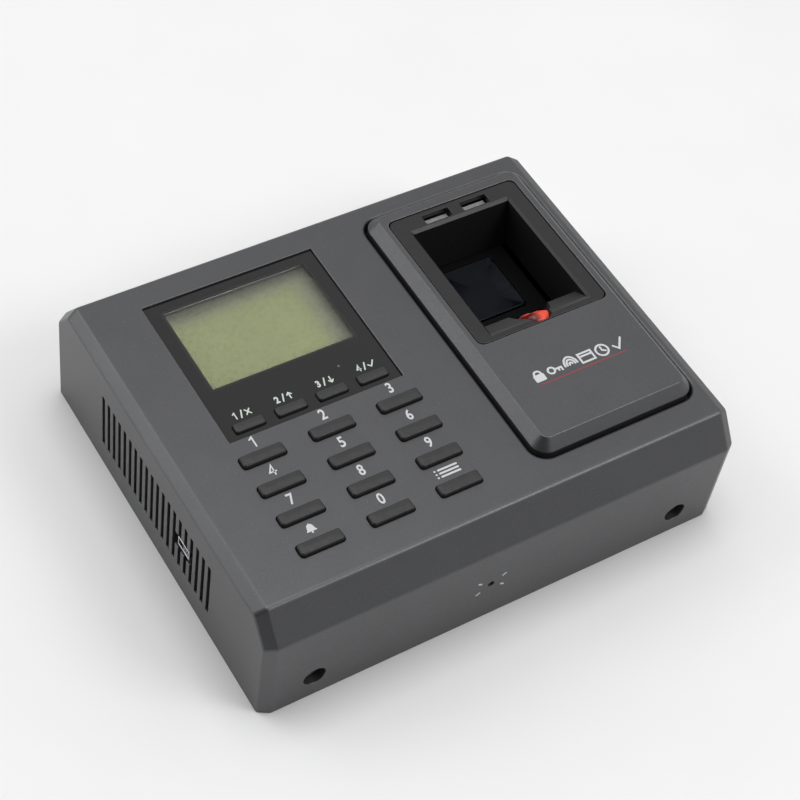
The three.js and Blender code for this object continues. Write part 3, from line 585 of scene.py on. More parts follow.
def red_lens(name):
    """Red plastic with a painted glow for the sensor's light behind it: emission and colour bright at the
    right and dim at the left.
    """
    graph = Graph(name, Roughness=0.32, Specular_IOR_Level=0.4, Emission_Strength=0.3)
    # Painted glow: emission and base colour grow brighter towards the lens's right end.
    across = graph.ramp(graph.axis("X"), TONGUE_LOW.x, TONGUE_HIGH.x)
    swirl = graph.cloud(0.3, 1, 0.3, 0.7, 0.8, 1.0)
    painted_glow = graph.maths("MULTIPLY", graph.ramp(across, 0.15, 0.7, 0.05, 1.0), swirl)
    graph.feed("Emission Color", graph.mix(painted_glow, (0.08, 0.003, 0.002, 1.0), (1.0, 0.1, 0.05, 1.0)))
    colour = graph.mix(painted_glow, (0.05, 0.006, 0.005, 1.0), (0.62, 0.06, 0.035, 1.0))
    return graph.finish(colour, graph.grain(0.8, 2, 0.1, 0.1))


def platen_glass(name):
    """Dark optical glass with the smudges of fingertips."""
    graph = Graph(name, Specular_IOR_Level=0.12)
    smudge = graph.cloud(0.22, 5, 0.4, 0.7)
    colour = graph.mix(smudge, (0.0015, 0.002, 0.004, 1.0), (0.003, 0.004, 0.008, 1.0))
    rough = graph.ramp(smudge, 0.0, 1.0, 0.22, 0.4)
    return graph.finish(colour, graph.grain(0.12, 2, 0.1, 0.2), rough)


def recipes(make, **values_of):
    """The materials that one function makes, by name."""
    return {name: make(name, **values) for name, values in values_of.items()}


MATERIALS = {
    **recipes(
        moulded_plastic,
        housing_plastic=dict(base=0.094, roughness=0.4, metallic=0.72, sparkle=0.3, wear=0.5),
        cover_plastic=dict(base=0.096, roughness=0.38, metallic=0.72, grain=0.14, sparkle=0.25, wear=0.5),
        back_plastic=dict(base=0.035, roughness=0.55, grain=0.45),
        black_plastic=dict(base=0.008, roughness=0.6, grain=0.3),
        terminal_green=dict(base=0.1, roughness=0.4, tint=(0.25, 1.9, 0.6)),
        white_plastic=dict(base=0.58, roughness=0.4, tint=WARM),
        cable_sheath=dict(base=0.42, roughness=0.45, grain=0.15),
    ),
    **recipes(
        metal,
        zinc_steel=dict(base=0.62, roughness=0.36, stretch=(0.4, 0.02, 0.4), patches=0.3),
        screw_steel=dict(base=0.13, roughness=0.32, stretch=(1.0, 1.0, 1.0)),
        frame_metal=dict(base=0.3, roughness=0.42, stretch=(0.1, 1.5, 1.0)),
        socket_steel=dict(base=0.5, roughness=0.26, stretch=(0.2, 2.0, 1.0)),
    ),
    **recipes(
        glossy_plastic,
        bezel_plastic=dict(base=0.009, roughness=0.28),
        ramp_plastic=dict(base=0.03, roughness=0.36),
        panel_acrylic=dict(base=0.008, roughness=0.07),
    ),
    **recipes(
        soft_rubber,
        key_rubber=dict(base=0.02, roughness=0.5),
        mat_rubber=dict(base=0.12, roughness=0.7),
        # The inside of the finger well: black made darker and duller than the bezel plastic, as painted
        # shade.
        well_lining=dict(base=0.003, roughness=0.7, specular=0.25),
        # The sensor's housing deep in the well: black plastic made darker and duller than real plastic, as
        # painted shade.
        sensor_black=dict(base=0.0015, roughness=0.6, specular=0.08),
    ),
    "clear_acrylic": clear_pane("clear_acrylic", (0.97, 0.98, 0.96, 1.0), 0.02),
    "diffuser": milky_plastic("diffuser", 0.3),
    "lcd_surface": display_glass("lcd_surface"),
    "circuit_board": circuit_board("circuit_board"),
    "red_lens": red_lens("red_lens"),
    "platen_glass": platen_glass("platen_glass"),
}
WHITE_INK = ink("white_ink", (0.6, 0.61, 0.62))
PALE_INK = ink("pale_green_ink", (0.55, 0.64, 0.57))
DIM_INK = ink("dim_ink", (0.09, 0.12, 0.09))
BLACK_INK = ink("black_ink", (0.012, 0.012, 0.012))
RED_INK = ink("red_ink", (0.32, 0.04, 0.05))


# ---- housing
def moved_corners(corners, insets):
    """The corners of an outline whose edges move inwards. Edge i runs from corner i to the next."""
    count = len(corners)
    lines = []
    for i, corner in enumerate(corners):
        along = (corners[(i + 1) % count] - corner).normalized()
        normal = Vector((along.y, -along.x))
        lines.append((normal, normal.dot(corner) - insets[i]))
    moved = []
    for i in range(count):
        (a, da), (b, db) = lines[i - 1], lines[i]
        cross = a.x * b.y - a.y * b.x
        moved.append(Vector(((da * b.y - db * a.y) / cross, (a.x * db - b.x * da) / cross)))
    return moved


def housing_section(inset, fillets=True, base_z=0.0):
    """The housing's outline in the YZ plane, with every edge but the base moved in by inset."""
    y, run, low_z = HALF_HEIGHT, EDGE_SLOPE["run"], EDGE_SLOPE["low_z"]
    corners = [(-y, base_z), (y, base_z), (y, low_z), (y - run, FACE_Z), (run - y, FACE_Z), (-y, low_z)]
    moved = moved_corners([Vector(c) for c in corners], [0.0] + [inset] * 5)
    base, slope = [HOUSING_FILLET[name] for name in (("base", "slope") if fillets else ("inside", "inside"))]
    return rounded(moved, [base, base, slope, slope, slope, slope], 6)


def end_path():
    """(inset, x) pairs from the middle of the housing to the inside of its right end face."""
    along, inset = END_BEVEL["along"], END_BEVEL["inset"]
    start = Vector((HALF_WIDTH - 6 * along, 0.0))
    shoulder = Vector((HALF_WIDTH - along, 0.0))
    rim = Vector((HALF_WIDTH, inset))
    inside = Vector((HALF_WIDTH, 3 * inset))
    path = corner_arc(start, shoulder, rim, HOUSING_FILLET["shoulder"], 5)
    path += corner_arc(shoulder, rim, inside, HOUSING_FILLET["end"], 6)
    return [(p.y, p.x) for p in path]


def housing_body():
    right = end_path()
    left = [(inset, -x) for inset, x in reversed(right)]
    return solid(SECTION, housing_section, left + right)


def housing_cavity():
    reach = HALF_WIDTH - WALL
    inside = lambda grow: housing_section(WALL, False, -PAST)
    return solid(SECTION, inside, [(0, -reach), (0, reach)])


# The gap round the cover is a little wider at the left and at the front.
READER_POCKET = reader_outline(GROOVE["width"], GROOVE["shift"], GROOVE["radius"])


def housing_additions():
    """The tub under the reader, and the lands behind the security screws."""
    floor = -GROOVE["depth"] - WALL
    shape = solid(FACE, READER_POCKET, [(WALL, floor), (WALL, -WALL / 2)])
    for side in (-1, 1):
        land = round_outline(side * SCREW["x"], SCREW["z"], SCREW_HOLE["land"])
        shape.add_solid(FRONT_WALL, land, [(0, -SCREW_HOLE["land_depth"]), (0, -PAST)])
    return shape


def key_cap_box(node):
    """The plan of a key's cap: the flange below it is wider by the same lip on every side."""
    low, high = box_mm(node)
    lip = Vector((FLANGE["lip"], FLANGE["lip"]))
    return low.xy + lip, high.xy - lip


def face_cuts():
    """The groove round the reader, the recess of the panel and the holes of the keys."""
    shape = solid(FACE, READER_POCKET, flare_path(GROOVE["depth"], LIP))
    recess = box_outline(PANEL_LOW, PANEL_HIGH, 0.3, CLEARANCE)
    shape.add_solid(FACE, recess, flare_path(FACE_Z - PANEL_LOW.z + CLEARANCE, 0.25))
    for node in KEYS:
        hole = box_outline(*key_cap_box(node), KEY_HOLE_RADIUS, CLEARANCE)
        shape.add_solid(FACE, hole, flare_path(WALL + PAST, 0.3))
    return shape


def wall_cuts():
    """The vents, the counterbores of the security screws and the pinhole."""
    shape = Shape()
    for i in range(VENT["count"]):
        middle = (i - (VENT["count"] - 1) / 2) * VENT["pitch"]
        low = Vector((middle - VENT["width"] / 2, VENT["low_z"]))
        high = Vector((middle + VENT["width"] / 2, VENT["high_z"]))
        shape.add_solid(LEFT_WALL, box_outline(low, high, VENT["radius"]), flare_path(2 * WALL, 0.2, 3))
    for side in (-1, 1):
        bore = round_outline(side * SCREW["x"], SCREW["z"], SCREW_HOLE["bore"], 48)
        shape.add_solid(FRONT_WALL, bore, flare_path(SCREW_HOLE["depth"], 0.35))
    pinhole = round_outline(RESET_X, RESET_Z, PINHOLE_RADIUS, 32)
    return shape.add_solid(FRONT_WALL, pinhole, flare_path(2 * WALL, 0.25))


def deeper_cuts():
    """Holes that meet other holes: the port, the wells under the panel and the reader, the screw shanks."""
    middle = Vector((-(SOCKET_LOW.y + SOCKET_HIGH.y) / 2, (SOCKET_LOW.z + SOCKET_HIGH.z) / 2))
    half = Vector((PORT["width"] / 2, PORT["height"] / 2))
    port = box_outline(middle - half, middle + half, PORT["radius"])
    shape = solid(LEFT_WALL, port, flare_path(2 * WALL, 0.3, 4))
    under_panel = box_outline(PANEL_LOW, PANEL_HIGH, 0.3, -PANEL_LEDGE)
    shape.add_solid(FACE, under_panel, [(0, -WALL - PAST), (0, -0.5)])
    under_bezel = box_outline(BEZEL_LOW, BEZEL_HIGH, 0.5, BEZEL["room"])
    shape.add_solid(FACE, under_bezel, [(0, -GROOVE["depth"] - 2 * WALL), (0, -PAST)])
    for side in (-1, 1):
        shank = round_outline(side * SCREW["x"], SCREW["z"], SCREW["shank"] + 2 * CLEARANCE, 24)
        shape.add_solid(FRONT_WALL, shank, [(0, -SCREW_HOLE["shank_depth"]), (0, -PAST)])
    return shape


def thing(name, shape):
    return placed(name, shape.mesh(name))


def make_housing():
    piece = thing("housing_shell", housing_body())
    cut(piece, housing_cavity())
    combine(piece, housing_additions(), "UNION")
    cut(piece, face_cuts(), wall_cuts(), deeper_cuts())
    stand_in(piece, "front_housing", "housing_plastic")


# ---- reader
def bevel_profile(bevel, low, start, top, fillet):
    """(grow, level) pairs of a wall that goes up from low, leans in from start and ends flat at top."""
    foot, shoulder = Vector((0.0, low)), Vector((0.0, start))
    rim, inside = Vector((-bevel, top)), Vector((-3 * bevel, top))
    path = [foot] + corner_arc(foot, shoulder, rim, fillet, 4) + corner_arc(shoulder, rim, inside, fillet, 5)
    return [(p.x, p.y) for p in path]


def make_cover():
    low, top = COVER_LOW.z, COVER_HIGH.z
    start = top - COVER["rise"]
    bevel, wall = COVER["bevel"], COVER["wall"]
    outline = reader_outline(0.0, 0.0, COVER["radius"])
    outer = bevel_profile(bevel, low, start, top, COVER["fillet"])
    piece = thing("reader_shell", solid(GROUND, outline, outer))
    inner = [(-wall, low - PAST), (-wall, start - PAST), (-wall - bevel, top - wall)]
    seat = box_outline(BEZEL_LOW, BEZEL_HIGH, BEZEL["radius"], CLEARANCE)
    seat_depth = 8
    cut(piece, solid(GROUND, outline, inner), solid(level_plane(top), seat, flare_path(seat_depth, 0.3)))
    stand_in(piece, "reader_cover", "cover_plastic")


def well_shape():
    """The finger well: a ramp at the front, then a steep fall to the sensor, and a leaning back wall."""
    top, floor = BEZEL_HIGH.z, BEZEL_LOW.z - PAST
    low_y, high_y, lean = WELL["low_y"], WELL["high_y"], WELL["lean"]
    run, drop, fall_run = RAMP.values()
    reach = WELL["half_width"]
    corner_radii = {
        (low_y, top + PAST): 0.1, (low_y, top): 0.1, (low_y + run, top - drop): 1.4,
        (low_y + run + fall_run, top - 3 * drop): 2.0,
        (low_y + run + 2 * fall_run, floor): 0.3, (high_y - lean, floor): 0.3,
        (high_y, top): 0.1, (high_y, top + PAST): 0.1,
    }
    outline = rounded([Vector(c) for c in corner_radii], list(corner_radii.values()), 5)
    return solid(SECTION, lambda grow: outline, [(0, READER_X - reach), (0, READER_X + reach)])


def well_chamfer():
    """The chamfer along the sides and the back of the well's mouth."""
    reach, size = WELL["half_width"], WELL["chamfer"]
    top = BEZEL_HIGH.z
    rings = []
    for grow, z in ((-0.5 * size, top - 1.5 * size), (size, top), (size, top + PAST)):
        front = WELL["low_y"] + max(0.0, top - z) * RAMP["run"] / RAMP["drop"]
        left, right, back = READER_X - reach - grow, READER_X + reach + grow, WELL["high_y"] + grow
        corners = [Vector(c) for c in ((left, front), (right, front), (right, back), (left, back))]
        rings.append([Vector((p.x, p.y, z)) for p in rounded(corners, [0.05, 0.05, 0.5, 0.5], 4)])
    return Shape().add_loft(rings)


def light_slots():
    """The two slots that the indicator strips shine through."""
    top, depth = BEZEL_HIGH.z, BEZEL_HIGH.z - BEZEL_LOW.z + PAST
    half = Vector((LIGHT_SLOT["width"], LIGHT_SLOT["height"])) / 2
    slots = Shape()
    for side in (-1, 1):
        middle = Vector((READER_X + side * LIGHT_SLOT["offset"], LIGHT_SLOT["y"]))
        slot = box_outline(middle - half, middle + half, 0.5)
        slots.add_solid(level_plane(top), slot, flare_path(depth, 0.25))
    return slots


TONGUE_OUTLINE = box_outline(TONGUE_LOW, TONGUE_HIGH, TONGUE["radius"], steps=8)


def line_well(piece):
    """Gives the ramp and the inside of the well materials of their own; the inside gets a darker, duller
    black than the bezel's, as painted shade.
    """
    shade_slot, ramp = 1, 2
    piece.data.materials.append(MATERIALS["well_lining"])
    piece.data.materials.append(MATERIALS["ramp_plastic"])
    top = BEZEL_HIGH.z
    ramp_y, ramp_z = WELL["low_y"] + RAMP["run"], top - RAMP["drop"]
    for face in piece.data.polygons:
        centre = face.center / MM
        in_well = abs(centre.x - READER_X) < WELL["half_width"] + 0.1 and centre.y < WELL["high_y"]
        behind_ramp = centre.y > ramp_y - 1.0
        below_ramp = behind_ramp and centre.z < ramp_z - 0.5
        on_side = behind_ramp and centre.z < top - 1.5 * WELL["chamfer"] and abs(face.normal.z) < 0.4
        if in_well and (below_ramp or on_side):
            face.material_index = shade_slot
        elif in_well and centre.y < ramp_y + 0.5 and centre.z < top - 0.5:
            face.material_index = ramp


def make_bezel():
    low, top = BEZEL_LOW.z, BEZEL_HIGH.z
    outline = box_outline(BEZEL_LOW, BEZEL_HIGH, BEZEL["radius"])
    plate = fillet_path(top - BEZEL["plate"], top, 0.3)
    piece = thing("bezel_shell", solid(GROUND, outline, plate))
    reach = WELL["half_width"] + WELL["wall"]
    tub_low = Vector((READER_X - reach, WELL["low_y"] - PAST))
    tub_high = Vector((READER_X + reach, WELL["high_y"] + PAST))
    tub = box_outline(tub_low, tub_high, 0.5)
    combine(piece, solid(GROUND, tub, [(0, low), (0, top - PAST)]), "UNION")
    notch = round_outline(READER_X, NOTCH["y"], NOTCH["radius"], 64)
    lip = [(0, low - PAST)] + [(grow, top + level) for grow, level in NOTCH["lip"]]
    seat = [(2 * CLEARANCE, TONGUE_LOW.z - 1), (2 * CLEARANCE, top + PAST)]
    cut(piece, well_shape(), well_chamfer(), light_slots())
    cut(piece, solid(GROUND, notch, lip), solid(GROUND, TONGUE_OUTLINE, seat))
    stand_in(piece, "reader_bezel", "bezel_plastic")
    line_well(piece)


def make_tongue():
    """The red lens: a smooth rounded block whose top falls away into the well."""
    low, top = TONGUE_LOW.z, TONGUE_HIGH.z
    flat_y, high_y = TONGUE_LOW.y + TONGUE["flat"], TONGUE_HIGH.y

    def top_z(y):
        part = min(1.0, max(0.0, (y - flat_y) / (high_y - flat_y)))
        return top - TONGUE["drop"] * part * part * (3 - 2 * part)

    rings = [[Vector((p.x, p.y, low)) for p in TONGUE_OUTLINE(0)]]
    for s, c in quarter_turns(12):
        inset, fall = TONGUE["edge"] * (1 - c), TONGUE["edge_fall"] * (1 - s)
        rings.append([Vector((p.x, p.y, top_z(p.y) - fall)) for p in TONGUE_OUTLINE(-inset)])
    stand_in(thing("tongue_lens", Shape().add_loft(rings)), "reader_tongue", "red_lens", angle=50)


def make_light_pipe(side):
    node = f"light_pipe_{side}"
    low, high = box_mm(node)
    shape = solid(GROUND, box_outline(low, high, 0.4), fillet_path(low.z, high.z, 0.45, 5))
    stand_in(thing(f"indicator_{side}", shape), node, "diffuser", angle=40)


def make_platen():
    """The sensor's glass, slightly hollow so that a fingertip settles on it."""
    low, high = PLATEN_LOW, PLATEN_HIGH
    outline = box_outline(low, high, PLATEN["radius"])
    middle = (low.xy + high.xy) / 2
    rings = lofted(GROUND, outline, fillet_path(low.z, high.z, PLATEN["edge"], 4))
    steps = 9
    for i in range(steps):
        part = math.cos(math.pi / 2 * i / steps)
        z = high.z - PLATEN["hollow"] * (1 - part * part)
        rings.append([
            Vector((middle.x + (p.x - middle.x) * part, middle.y + (p.y - middle.y) * part, z))
            for p in outline(-PLATEN["rim"])
        ])
    stand_in(thing("platen", Shape().add_loft(rings)), "sensor_platen", "platen_glass", angle=60)


# ---- keys
def make_key(node, radius, crown, edge):
    """A loaf-shaped cap on its stem, over the flange that keeps it in the case."""
    low, high = box_mm(node)
    plan_low, plan_high = key_cap_box(node)
    outline = box_outline(plan_low, plan_high, radius)
    flange_top = FACE_Z - WALL - CLEARANCE
    flange_low = flange_top - FLANGE["thickness"]
    rings = lofted(GROUND, outline, [(0, low.z), (0, flange_low)])
    rings += lofted(GROUND, box_outline(low, high, FLANGE["radius"]), [(0, flange_low), (0, flange_top)])
    rings += lofted(GROUND, outline, [(0, flange_top)])
    middle = (plan_low + plan_high) / 2
    half = (plan_high - plan_low) / 2
    top = high.z - crown

    def crowned(grow, level):
        ring = []
        for p in outline(grow):
            along = (p.x - middle.x) / half.x
            across = (p.y - middle.y) / half.y
            ring.append(Vector((p.x, p.y, level + crown * (1 - along * along) * (1 - 0.5 * across * across))))
        return ring

    rings += [crowned(-edge * (1 - c), top - edge * (1 - s)) for s, c in quarter_turns(6)]
    rings += [crowned(-edge - (half.y - edge) * part, top) for part in (0.3, 0.55, 0.8, 0.96)]
    stand_in(thing(f"{node}_cap", Shape().add_loft(rings)), node, "key_rubber", body=node, angle=40)


# ---- printing
def printed(plane, outline):
    return Shape().add_loft([[plane.point(p, level) for p in outline] for level in (-INK, INK)])


def side_points(points, closed, offset):
    """The points of a stroke moved sideways, mitred at its bends."""
    moved = []
    last = len(points) - 1
    for i, point in enumerate(points):
        before = points[i - 1] if i > 0 or closed else None
        after = points[(i + 1) % len(points)] if i < last or closed else None
        into = (point - before).normalized() if before else (after - point).normalized()
        out = (after - point).normalized() if after else into
        across = (Vector((-into.y, into.x)) + Vector((-out.y, out.x))).normalized()
        moved.append(point + across * offset / max(0.35, across.dot(Vector((-out.y, out.x)))))
    return moved


def stroke_shape(plane, stroke, width):
    """A printed stroke: a ring if it ends where it starts, and otherwise a strip with round ends."""
    points = [Vector(p) for p in stroke]
    closed = stroke[0] == stroke[-1]
    if closed:
        points.pop()
    left, right = [side_points(points, closed, side * width / 2) for side in (1, -1)]
    if closed:
        corners = ((left, -INK), (left, INK), (right, INK), (right, -INK))
        return Shape().add_band([[plane.point(p, level) for p in ring] for ring, level in corners])

    def round_end(end, inner):
        along = (end - inner).normalized() * width / 2
        across = Vector((along.y, -along.x))
        turns = [math.pi * i / 6 for i in range(7)]
        return [end + across * math.cos(t) + along * math.sin(t) for t in turns]

    outline = right[1:-1] + round_end(points[-1], points[-2]) + left[-2:0:-1]
    return printed(plane, outline + round_end(points[0], points[1]))


def print_shape(name, plane, material, strokes=(), fills=(), width=0.5):
    """Printed marks on a plane: filled outlines, and strokes of one width."""
    shapes = [printed(plane, outline) for outline in fills]
    shapes += [stroke_shape(plane, stroke, width) for stroke in strokes]
    piece = thing(name, shapes[0])
    for shape in shapes[1:]:
        combine(piece, shape, "UNION")
    finish_piece(piece, material)


def arc(x, y, radius, start, end, steps=10, squash=1.0):
    turns = [math.radians(start + (end - start) * i / steps) for i in range(steps + 1)]
    return [(x + radius * math.cos(t), y + squash * radius * math.sin(t)) for t in turns]


def looped(points):
    return [*points, points[0]]


def print_text(name, text, plane, x, y, material, height, squeeze, bold):
    """A numeral centred on a point of the plane."""
    curve = bpy.data.curves.new(name, "FONT")
    curve.body = text
    curve.size = 1.0
    curve.offset = bold
    curve.extrude = 0.01
    curve.resolution_u = 4
    label = placed(name, curve)
    data = evaluated_mesh(label)
    bpy.data.objects.remove(label)
    xs = [v.co.x for v in data.vertices]
    ys = [v.co.y for v in data.vertices]
    middle_x, middle_y = (min(xs) + max(xs)) / 2, (min(ys) + max(ys)) / 2
    scale = height / (max(ys) - min(ys))
    for v in data.vertices:
        flat = ((v.co.x - middle_x) * scale * squeeze + x, (v.co.y - middle_y) * scale + y)
        v.co = plane.point(flat, INK if v.co.z > 0 else -INK) * MM
    data.name = name
    finish_piece(placed(name, cleaned(data, 0.003)), material)


def key_middle(node):
    low, high = box_mm(node)
    return (low.xy + high.xy) / 2


def print_numeral(name, digit, plane, x, y, material, height, squeeze, bold):
    """A numeral; the 1 and the 4 are drawn as strokes."""
    drawn = {
        1: [(-0.2, 0.26), (0.05, 0.45), (0.05, -0.45)],
        4: [(0.1, -0.45), (0.1, 0.43), (-0.26, -0.18), (0.27, -0.18)],
    }
    if digit in drawn:
        stroke = [(x + height * u, y + height * v) for u, v in drawn[digit]]
        print_shape(name, plane, material, [stroke], width=(0.1 + 1.2 * bold) * height)
    else:
        print_text(name, str(digit), plane, x, y, material, height, squeeze, bold)


def print_numerals():
    for digit in range(10):
        x, y = key_middle(f"key_{digit}")
        print_numeral(f"numeral_{digit}", digit, FACE, x, y + NUMERAL_RISE, WHITE_INK, **NUMERAL)


def print_bell():
    x, y = key_middle("key_bell")
    y += SIGN_RISE
    dome = [(x + 1.35, y - 0.9)] + arc(x, y + 0.55, 0.95, 0, 180, 8) + [(x - 1.35, y - 0.9)]
    knob = [(x, y + 1.5), (x, y + 1.75)]
    brim = [(x - 1.6, y - 0.9), (x + 1.6, y - 0.9)]
    clapper = circle(x, y - 1.45, 0.38, 12)
    print_shape("bell_sign", FACE, WHITE_INK, [looped(dome), knob, brim], [clapper, dome], 0.42)


def print_menu():
    """Three bars, each with a dot before it."""
    x, y = key_middle("key_menu")
    strokes = []
    for bar_y in [y + SIGN_RISE + 1.35 * step for step in (-1, 0, 1)]:
        strokes += [[(x - 3.4, bar_y), (x + 3.4, bar_y)], [(x - 4.7, bar_y), (x - 4.65, bar_y)]]
    print_shape("menu_sign", FACE, WHITE_INK, strokes, width=0.7)


def function_signs(x, y):
    """What stands beside each function key's number: a cross, two arrows and a tick."""
    reach = 0.8
    shaft = [(x, y - 1.2), (x, y + 1.2)]
    return [
        [[(x - reach, y - 1.0), (x + reach, y + 1.0)], [(x - reach, y + 1.0), (x + reach, y - 1.0)]],
        [shaft, [(x - reach, y + 0.35), (x, y + 1.2), (x + reach, y + 0.35)]],
        [shaft, [(x - reach, y - 0.35), (x, y - 1.2), (x + reach, y - 0.35)]],
        [[(x - 1.1, y - 0.1), (x - 0.2, y - 1.0), (x + 1.3, y + 1.1)]],
    ]


def print_function_signs():
    panel = level_plane(PANEL_HIGH.z)
    for i, node in enumerate(FUNCTION_KEYS):
        x, y = key_middle(node)
        y += FUNCTION_SIGN_RISE
        print_numeral(f"function_numeral_{i + 1}", i + 1, panel, x - 2.4, y, PALE_INK, **FUNCTION_NUMERAL)
        slash = [(x - 0.6, y - 1.4), (x + 0.4, y + 1.4)]
        print_shape(f"function_sign_{i + 1}", panel, PALE_INK, [slash] + function_signs(x + 2.3, y)[i])


def print_panel_marks():
    """The dim dot on the panel, and the black border over the edge of the display's pane."""
    dot = circle(DISPLAY_X + 15.2, 7.0, 0.45, 16)
    print_shape("panel_dot", level_plane(PANEL_HIGH.z), DIM_INK, fills=[dot])
    border = [tuple(p) for p in box_outline(WINDOW_LOW, WINDOW_HIGH, 1.0, -0.1)(0)]
    print_shape("window_border", level_plane(WINDOW_HIGH.z), BLACK_INK, [looped(border)],
                width=1.1)


def reader_signs():
    """A row of small signs, drawn round 0, 0: padlock, key, fingertip, card, clock and tick."""
    pitch = 4.75
    lock, key, tip, card, clock, tick = [pitch * (step - 2.5) for step in range(6)]
    strokes = [
        arc(lock, 0.45, 0.95, 0, 180, 6),
        looped(arc(key - 0.95, 0, 0.95, 0, 330, 11)),
        [(key - 0.1, 0), (key + 1.9, 0), (key + 1.9, -0.9)],
        [(key + 1.0, 0), (key + 1.0, -0.7)],
        arc(tip, -0.5, 0.45, 20, 180, 8, 1.35),
        arc(tip, -0.5, 1.15, 0, 180, 8, 1.35),
        arc(tip, -0.5, 1.8, 0, 180, 8, 1.35),
        looped([(card - 1.9, -1.4), (card + 1.9, -1.4), (card + 1.9, 1.4), (card - 1.9, 1.4)]),
        [(card - 1.9, 0.5), (card + 1.9, 0.5)],
        looped(arc(clock, 0, 1.7, 0, 345, 16)),
        [(clock, 1.0), (clock, 0), (clock + 0.8, -0.5)],
        [(tick - 1.5, -0.1), (tick - 0.4, -1.4), (tick + 1.7, 1.5)],
    ]
    return strokes, [rounded_rect(lock, -0.7, 3.0, 2.2, 0.3, 3)]


def print_reader_signs():
    top = level_plane(COVER_HIGH.z)
    x, y, size = READER_X + 0.5, -29.0, 1.36
    strokes, fills = [
        [[(x + size * p[0], y + size * p[1]) for p in points] for points in group] for group in reader_signs()
    ]
    print_shape("reader_signs", top, WHITE_INK, strokes, fills, 0.72)
    underline = rounded_rect(READER_X + 0.6, -32.7, 34.5, 0.38, 0.15, 3)
    print_shape("reader_underline", top, RED_INK, fills=[underline])


def print_reset_marks():
    """Four short strokes that point at the pinhole."""
    ends = ((5.2, 3.2), (4.2, 2.5))
    signs = [(sx, sz) for sx in (-1, 1) for sz in (-1, 1)]
    strokes = [[(RESET_X + sx * across, RESET_Z + sz * up) for across, up in ends] for sx, sz in signs]
    print_shape("reset_marks", FRONT_WALL, WHITE_INK, strokes, width=0.75)


# ---- fasteners
def make_security_screw(side, name):
    """A pan-head screw with a six-sided socket, lying along Y in its counterbore."""
    node = f"security_screw_{name}"
    low, high = box_mm(node)
    x, z, tip = side * SCREW["x"], SCREW["z"], low.y - high.y
    head, depth, shank, dome = SCREW["head"], SCREW["head_depth"], SCREW["shank"], SCREW["dome"]
    levels = [(shank * 0.4, tip), (shank, tip + 0.8)]
    turns = 9
    for i in range(turns):
        level = tip + 1.2 + 0.5 * i
        levels += [(shank - 0.2, level - 0.22), (shank, level)]
    levels = [pair for pair in levels if pair[1] < -depth - 0.3]
    levels += [(shank, -depth), (head - 0.15, -depth), (head, -depth + 0.15), (head, -dome)]
    levels += [(head - dome * (1 - c), -dome + dome * s) for s, c in quarter_turns(4)[1:]]
    plane = Plane((0, low.y, 0), (1, 0, 0), (0, 0, 1))
    rings = [[plane.point(p, level) for p in circle(x, z, radius, 42)] for radius, level in levels]
    for radius, level in ((SCREW["socket"] + 0.15, 0), (SCREW["socket"], -0.15), (SCREW["socket"], -1.3)):
        rings.append([plane.point(p, level) for p in polygon_ring(x, z, radius, 6)])
    stand_in(thing(f"security_screw_{name}_turned", Shape().add_loft(rings)), node, "screw_steel")


# ---- pieces kept from the frame: their materials, and the widths of their rounded edges
KEPT = {
    "back_plastic": {"rear_cover": 0.4},
    "zinc_steel": {"wall_plate": 0.25},
    "panel_acrylic": {"display_panel": 0.2},
    "clear_acrylic": {"display_window": 0.1},
    "frame_metal": {"lcd_frame": 0.2},
    "lcd_surface": {"lcd_glass": 0.1},
    "diffuser": {"lcd_backlight": 0.2},
    "mat_rubber": {"keypad_mat": 0.1},
    "sensor_black": {"sensor_housing": 0.4},
    "circuit_board": {"lcd_board": 0.1, "keypad_board": 0.1, "sensor_board": 0.1, "main_board": 0.1},
    "cable_sheath": {"sensor_cable": 0.2, "display_cable": 0.1},
    "black_plastic": {
        "processor": 0.2, "buzzer": 0.5, "relay": 0.5, "reset_switch": 0.3, "tamper_switch": 0.3,
    },
    "socket_steel": {"coin_cell": 0.5, "usb_socket": 0.15, "network_jack": 0.3},
    "terminal_green": {"lock_terminal_block": 0.2, "power_terminal_block": 0.2},
    "white_plastic": {"reset_button": 0.3, "tamper_plunger": 0.3},
    "screw_steel": {f"housing_screw_{i}": 0.2 for i in range(1, 5)},
}


def dress(node, material, width):
    """Gives a kept node its material and rounds its edges a little."""
    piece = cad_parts[node]
    piece.data.materials.clear()
    piece.data.materials.append(material)
    weld = piece.modifiers.new("weld", "WELD")
    weld.merge_threshold = 0.001 * MM
    flat = piece.modifiers.new("flat", "DECIMATE")
    flat.decimate_type = "DISSOLVE"
    flat.angle_limit = math.radians(1)
    bevel = piece.modifiers.new("bevel", "BEVEL")
    bevel.width = width * MM
    bevel.segments = 2
    bevel.limit_method = "ANGLE"
    bevel.angle_limit = math.radians(35)
    bevel.harden_normals = False
    piece.data.shade_smooth()
    weighted = piece.modifiers.new("weighted", "WEIGHTED_NORMAL")
    weighted.keep_sharp = False
    weighted.weight = 100


# ---- studio
CAMERA = {"azimuth": -39.16, "elevation": 50.88, "roll": 10.46, "distance": 682.2, "lens": 89.665}
AIM = Vector((3.6, 0.4, 25.0))
LIGHTS = {
    "overhead_light": {"azimuth": 180, "elevation": 84, "distance": 1500, "size": (700, 700), "power": 6.5},
    "back_light": {"azimuth": -140, "elevation": 45, "distance": 1300, "size": (500, 400), "power": 1.9},
    "front_light": {"azimuth": 38, "elevation": 46, "distance": 1300, "size": (500, 400), "power": 3.7},
    "left_light": {"azimuth": -121, "elevation": 15, "distance": 1300, "size": (500, 350), "power": 1.6},
}
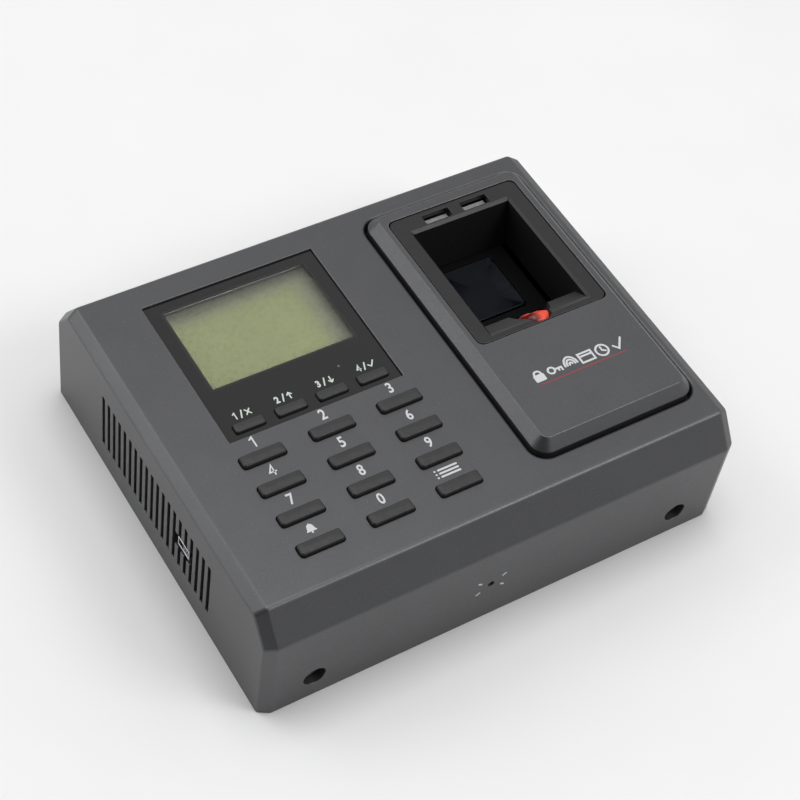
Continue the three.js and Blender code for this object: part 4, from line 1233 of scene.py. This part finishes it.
# Where the room is darker, and how much: by the cosine of the angle from that direction.
DARK_PATCHES = (
    ((-46, 28), {"low": 0.56, "high": 0.88, "low_value": 0.74, "high_value": 0.02}),
    ((24, -5), {"low": 0.84, "high": 0.98, "low_value": 1.0, "high_value": 0.4}),
)


def turned(azimuth, elevation):
    """The direction from the object to something at that azimuth and elevation."""
    a, e = math.radians(azimuth), math.radians(elevation)
    return Vector((math.sin(a) * math.cos(e), -math.cos(a) * math.cos(e), math.sin(e)))


def make_camera():
    camera = placed("camera", bpy.data.cameras.new("camera"))
    camera.data.lens = CAMERA["lens"]
    camera.data.sensor_width = 36.0
    back = turned(CAMERA["azimuth"], CAMERA["elevation"])
    facing = (-back).to_track_quat("-Z", "Y").to_matrix()
    roll = Matrix.Rotation(math.radians(CAMERA["roll"]), 3, "Z")
    place = Matrix.Translation((AIM + back * CAMERA["distance"]) * MM)
    camera.matrix_world = place @ (facing @ roll).to_4x4()
    bpy.context.scene.camera = camera


def make_floor():
    shape = solid(GROUND, round_outline(0, 0, 2500, 64), [(0, -5.0), (0, -0.05)])
    floor = thing("studio_floor", shape)
    graph = Graph("studio_floor", Roughness=0.6, Specular_IOR_Level=0.3)
    graph.feed("Base Color", graph.mix(graph.cloud(0.01, 3, 0.3, 0.7), grey(0.85), grey(0.87)))
    floor.data.materials.append(graph.material)


def make_softbox(name, azimuth, elevation, distance, size, power):
    data = bpy.data.lights.new(name, "AREA")
    data.shape = "RECTANGLE"
    data.size, data.size_y = size[0] * MM, size[1] * MM
    data.energy = power
    light = placed(name, data)
    back = turned(azimuth, elevation)
    light.location = back * distance * MM
    light.rotation_mode = "QUATERNION"
    light.rotation_quaternion = (-back).to_track_quat("-Z", "Y")


def make_surroundings():
    """A white room with two darker patches, in front to the left and low down to the right."""
    world = bpy.data.worlds.new("studio")
    bpy.context.scene.world = world
    graph = Nodes(world)
    direction = graph.add("TexCoord").outputs["Generated"]
    patches = [
        graph.ramp(graph.dot(direction, turned(*towards)), **values) for towards, values in DARK_PATCHES
    ]
    background = graph.tree.nodes["Background"]
    graph.put(graph.maths("MULTIPLY", *patches), background.inputs["Strength"])
    graph.put(grey(1.0), background.inputs["Color"])


def make_studio():
    make_camera()
    make_floor()
    make_surroundings()
    for name, light in LIGHTS.items():
        make_softbox(name, **light)
    settings = bpy.context.scene.view_settings
    settings.view_transform = "Standard"
    settings.look = "None"


# ---- assembly
make_studio()
make_housing()
make_cover()
make_bezel()
make_tongue()
make_platen()
for side in ("left", "right"):
    make_light_pipe(side)
for node in KEYS:
    make_key(node, **KEY_CAP)
for node in FUNCTION_KEYS:
    make_key(node, **FUNCTION_KEY_CAP)
make_security_screw(-1, "left")
make_security_screw(1, "right")
print_numerals()
print_bell()
print_menu()
print_function_signs()
print_panel_marks()
print_reader_signs()
print_reset_marks()
for material, widths in KEPT.items():
    for node, width in widths.items():
        dress(node, MATERIALS[material], width)
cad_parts["display_window"].visible_shadow = False
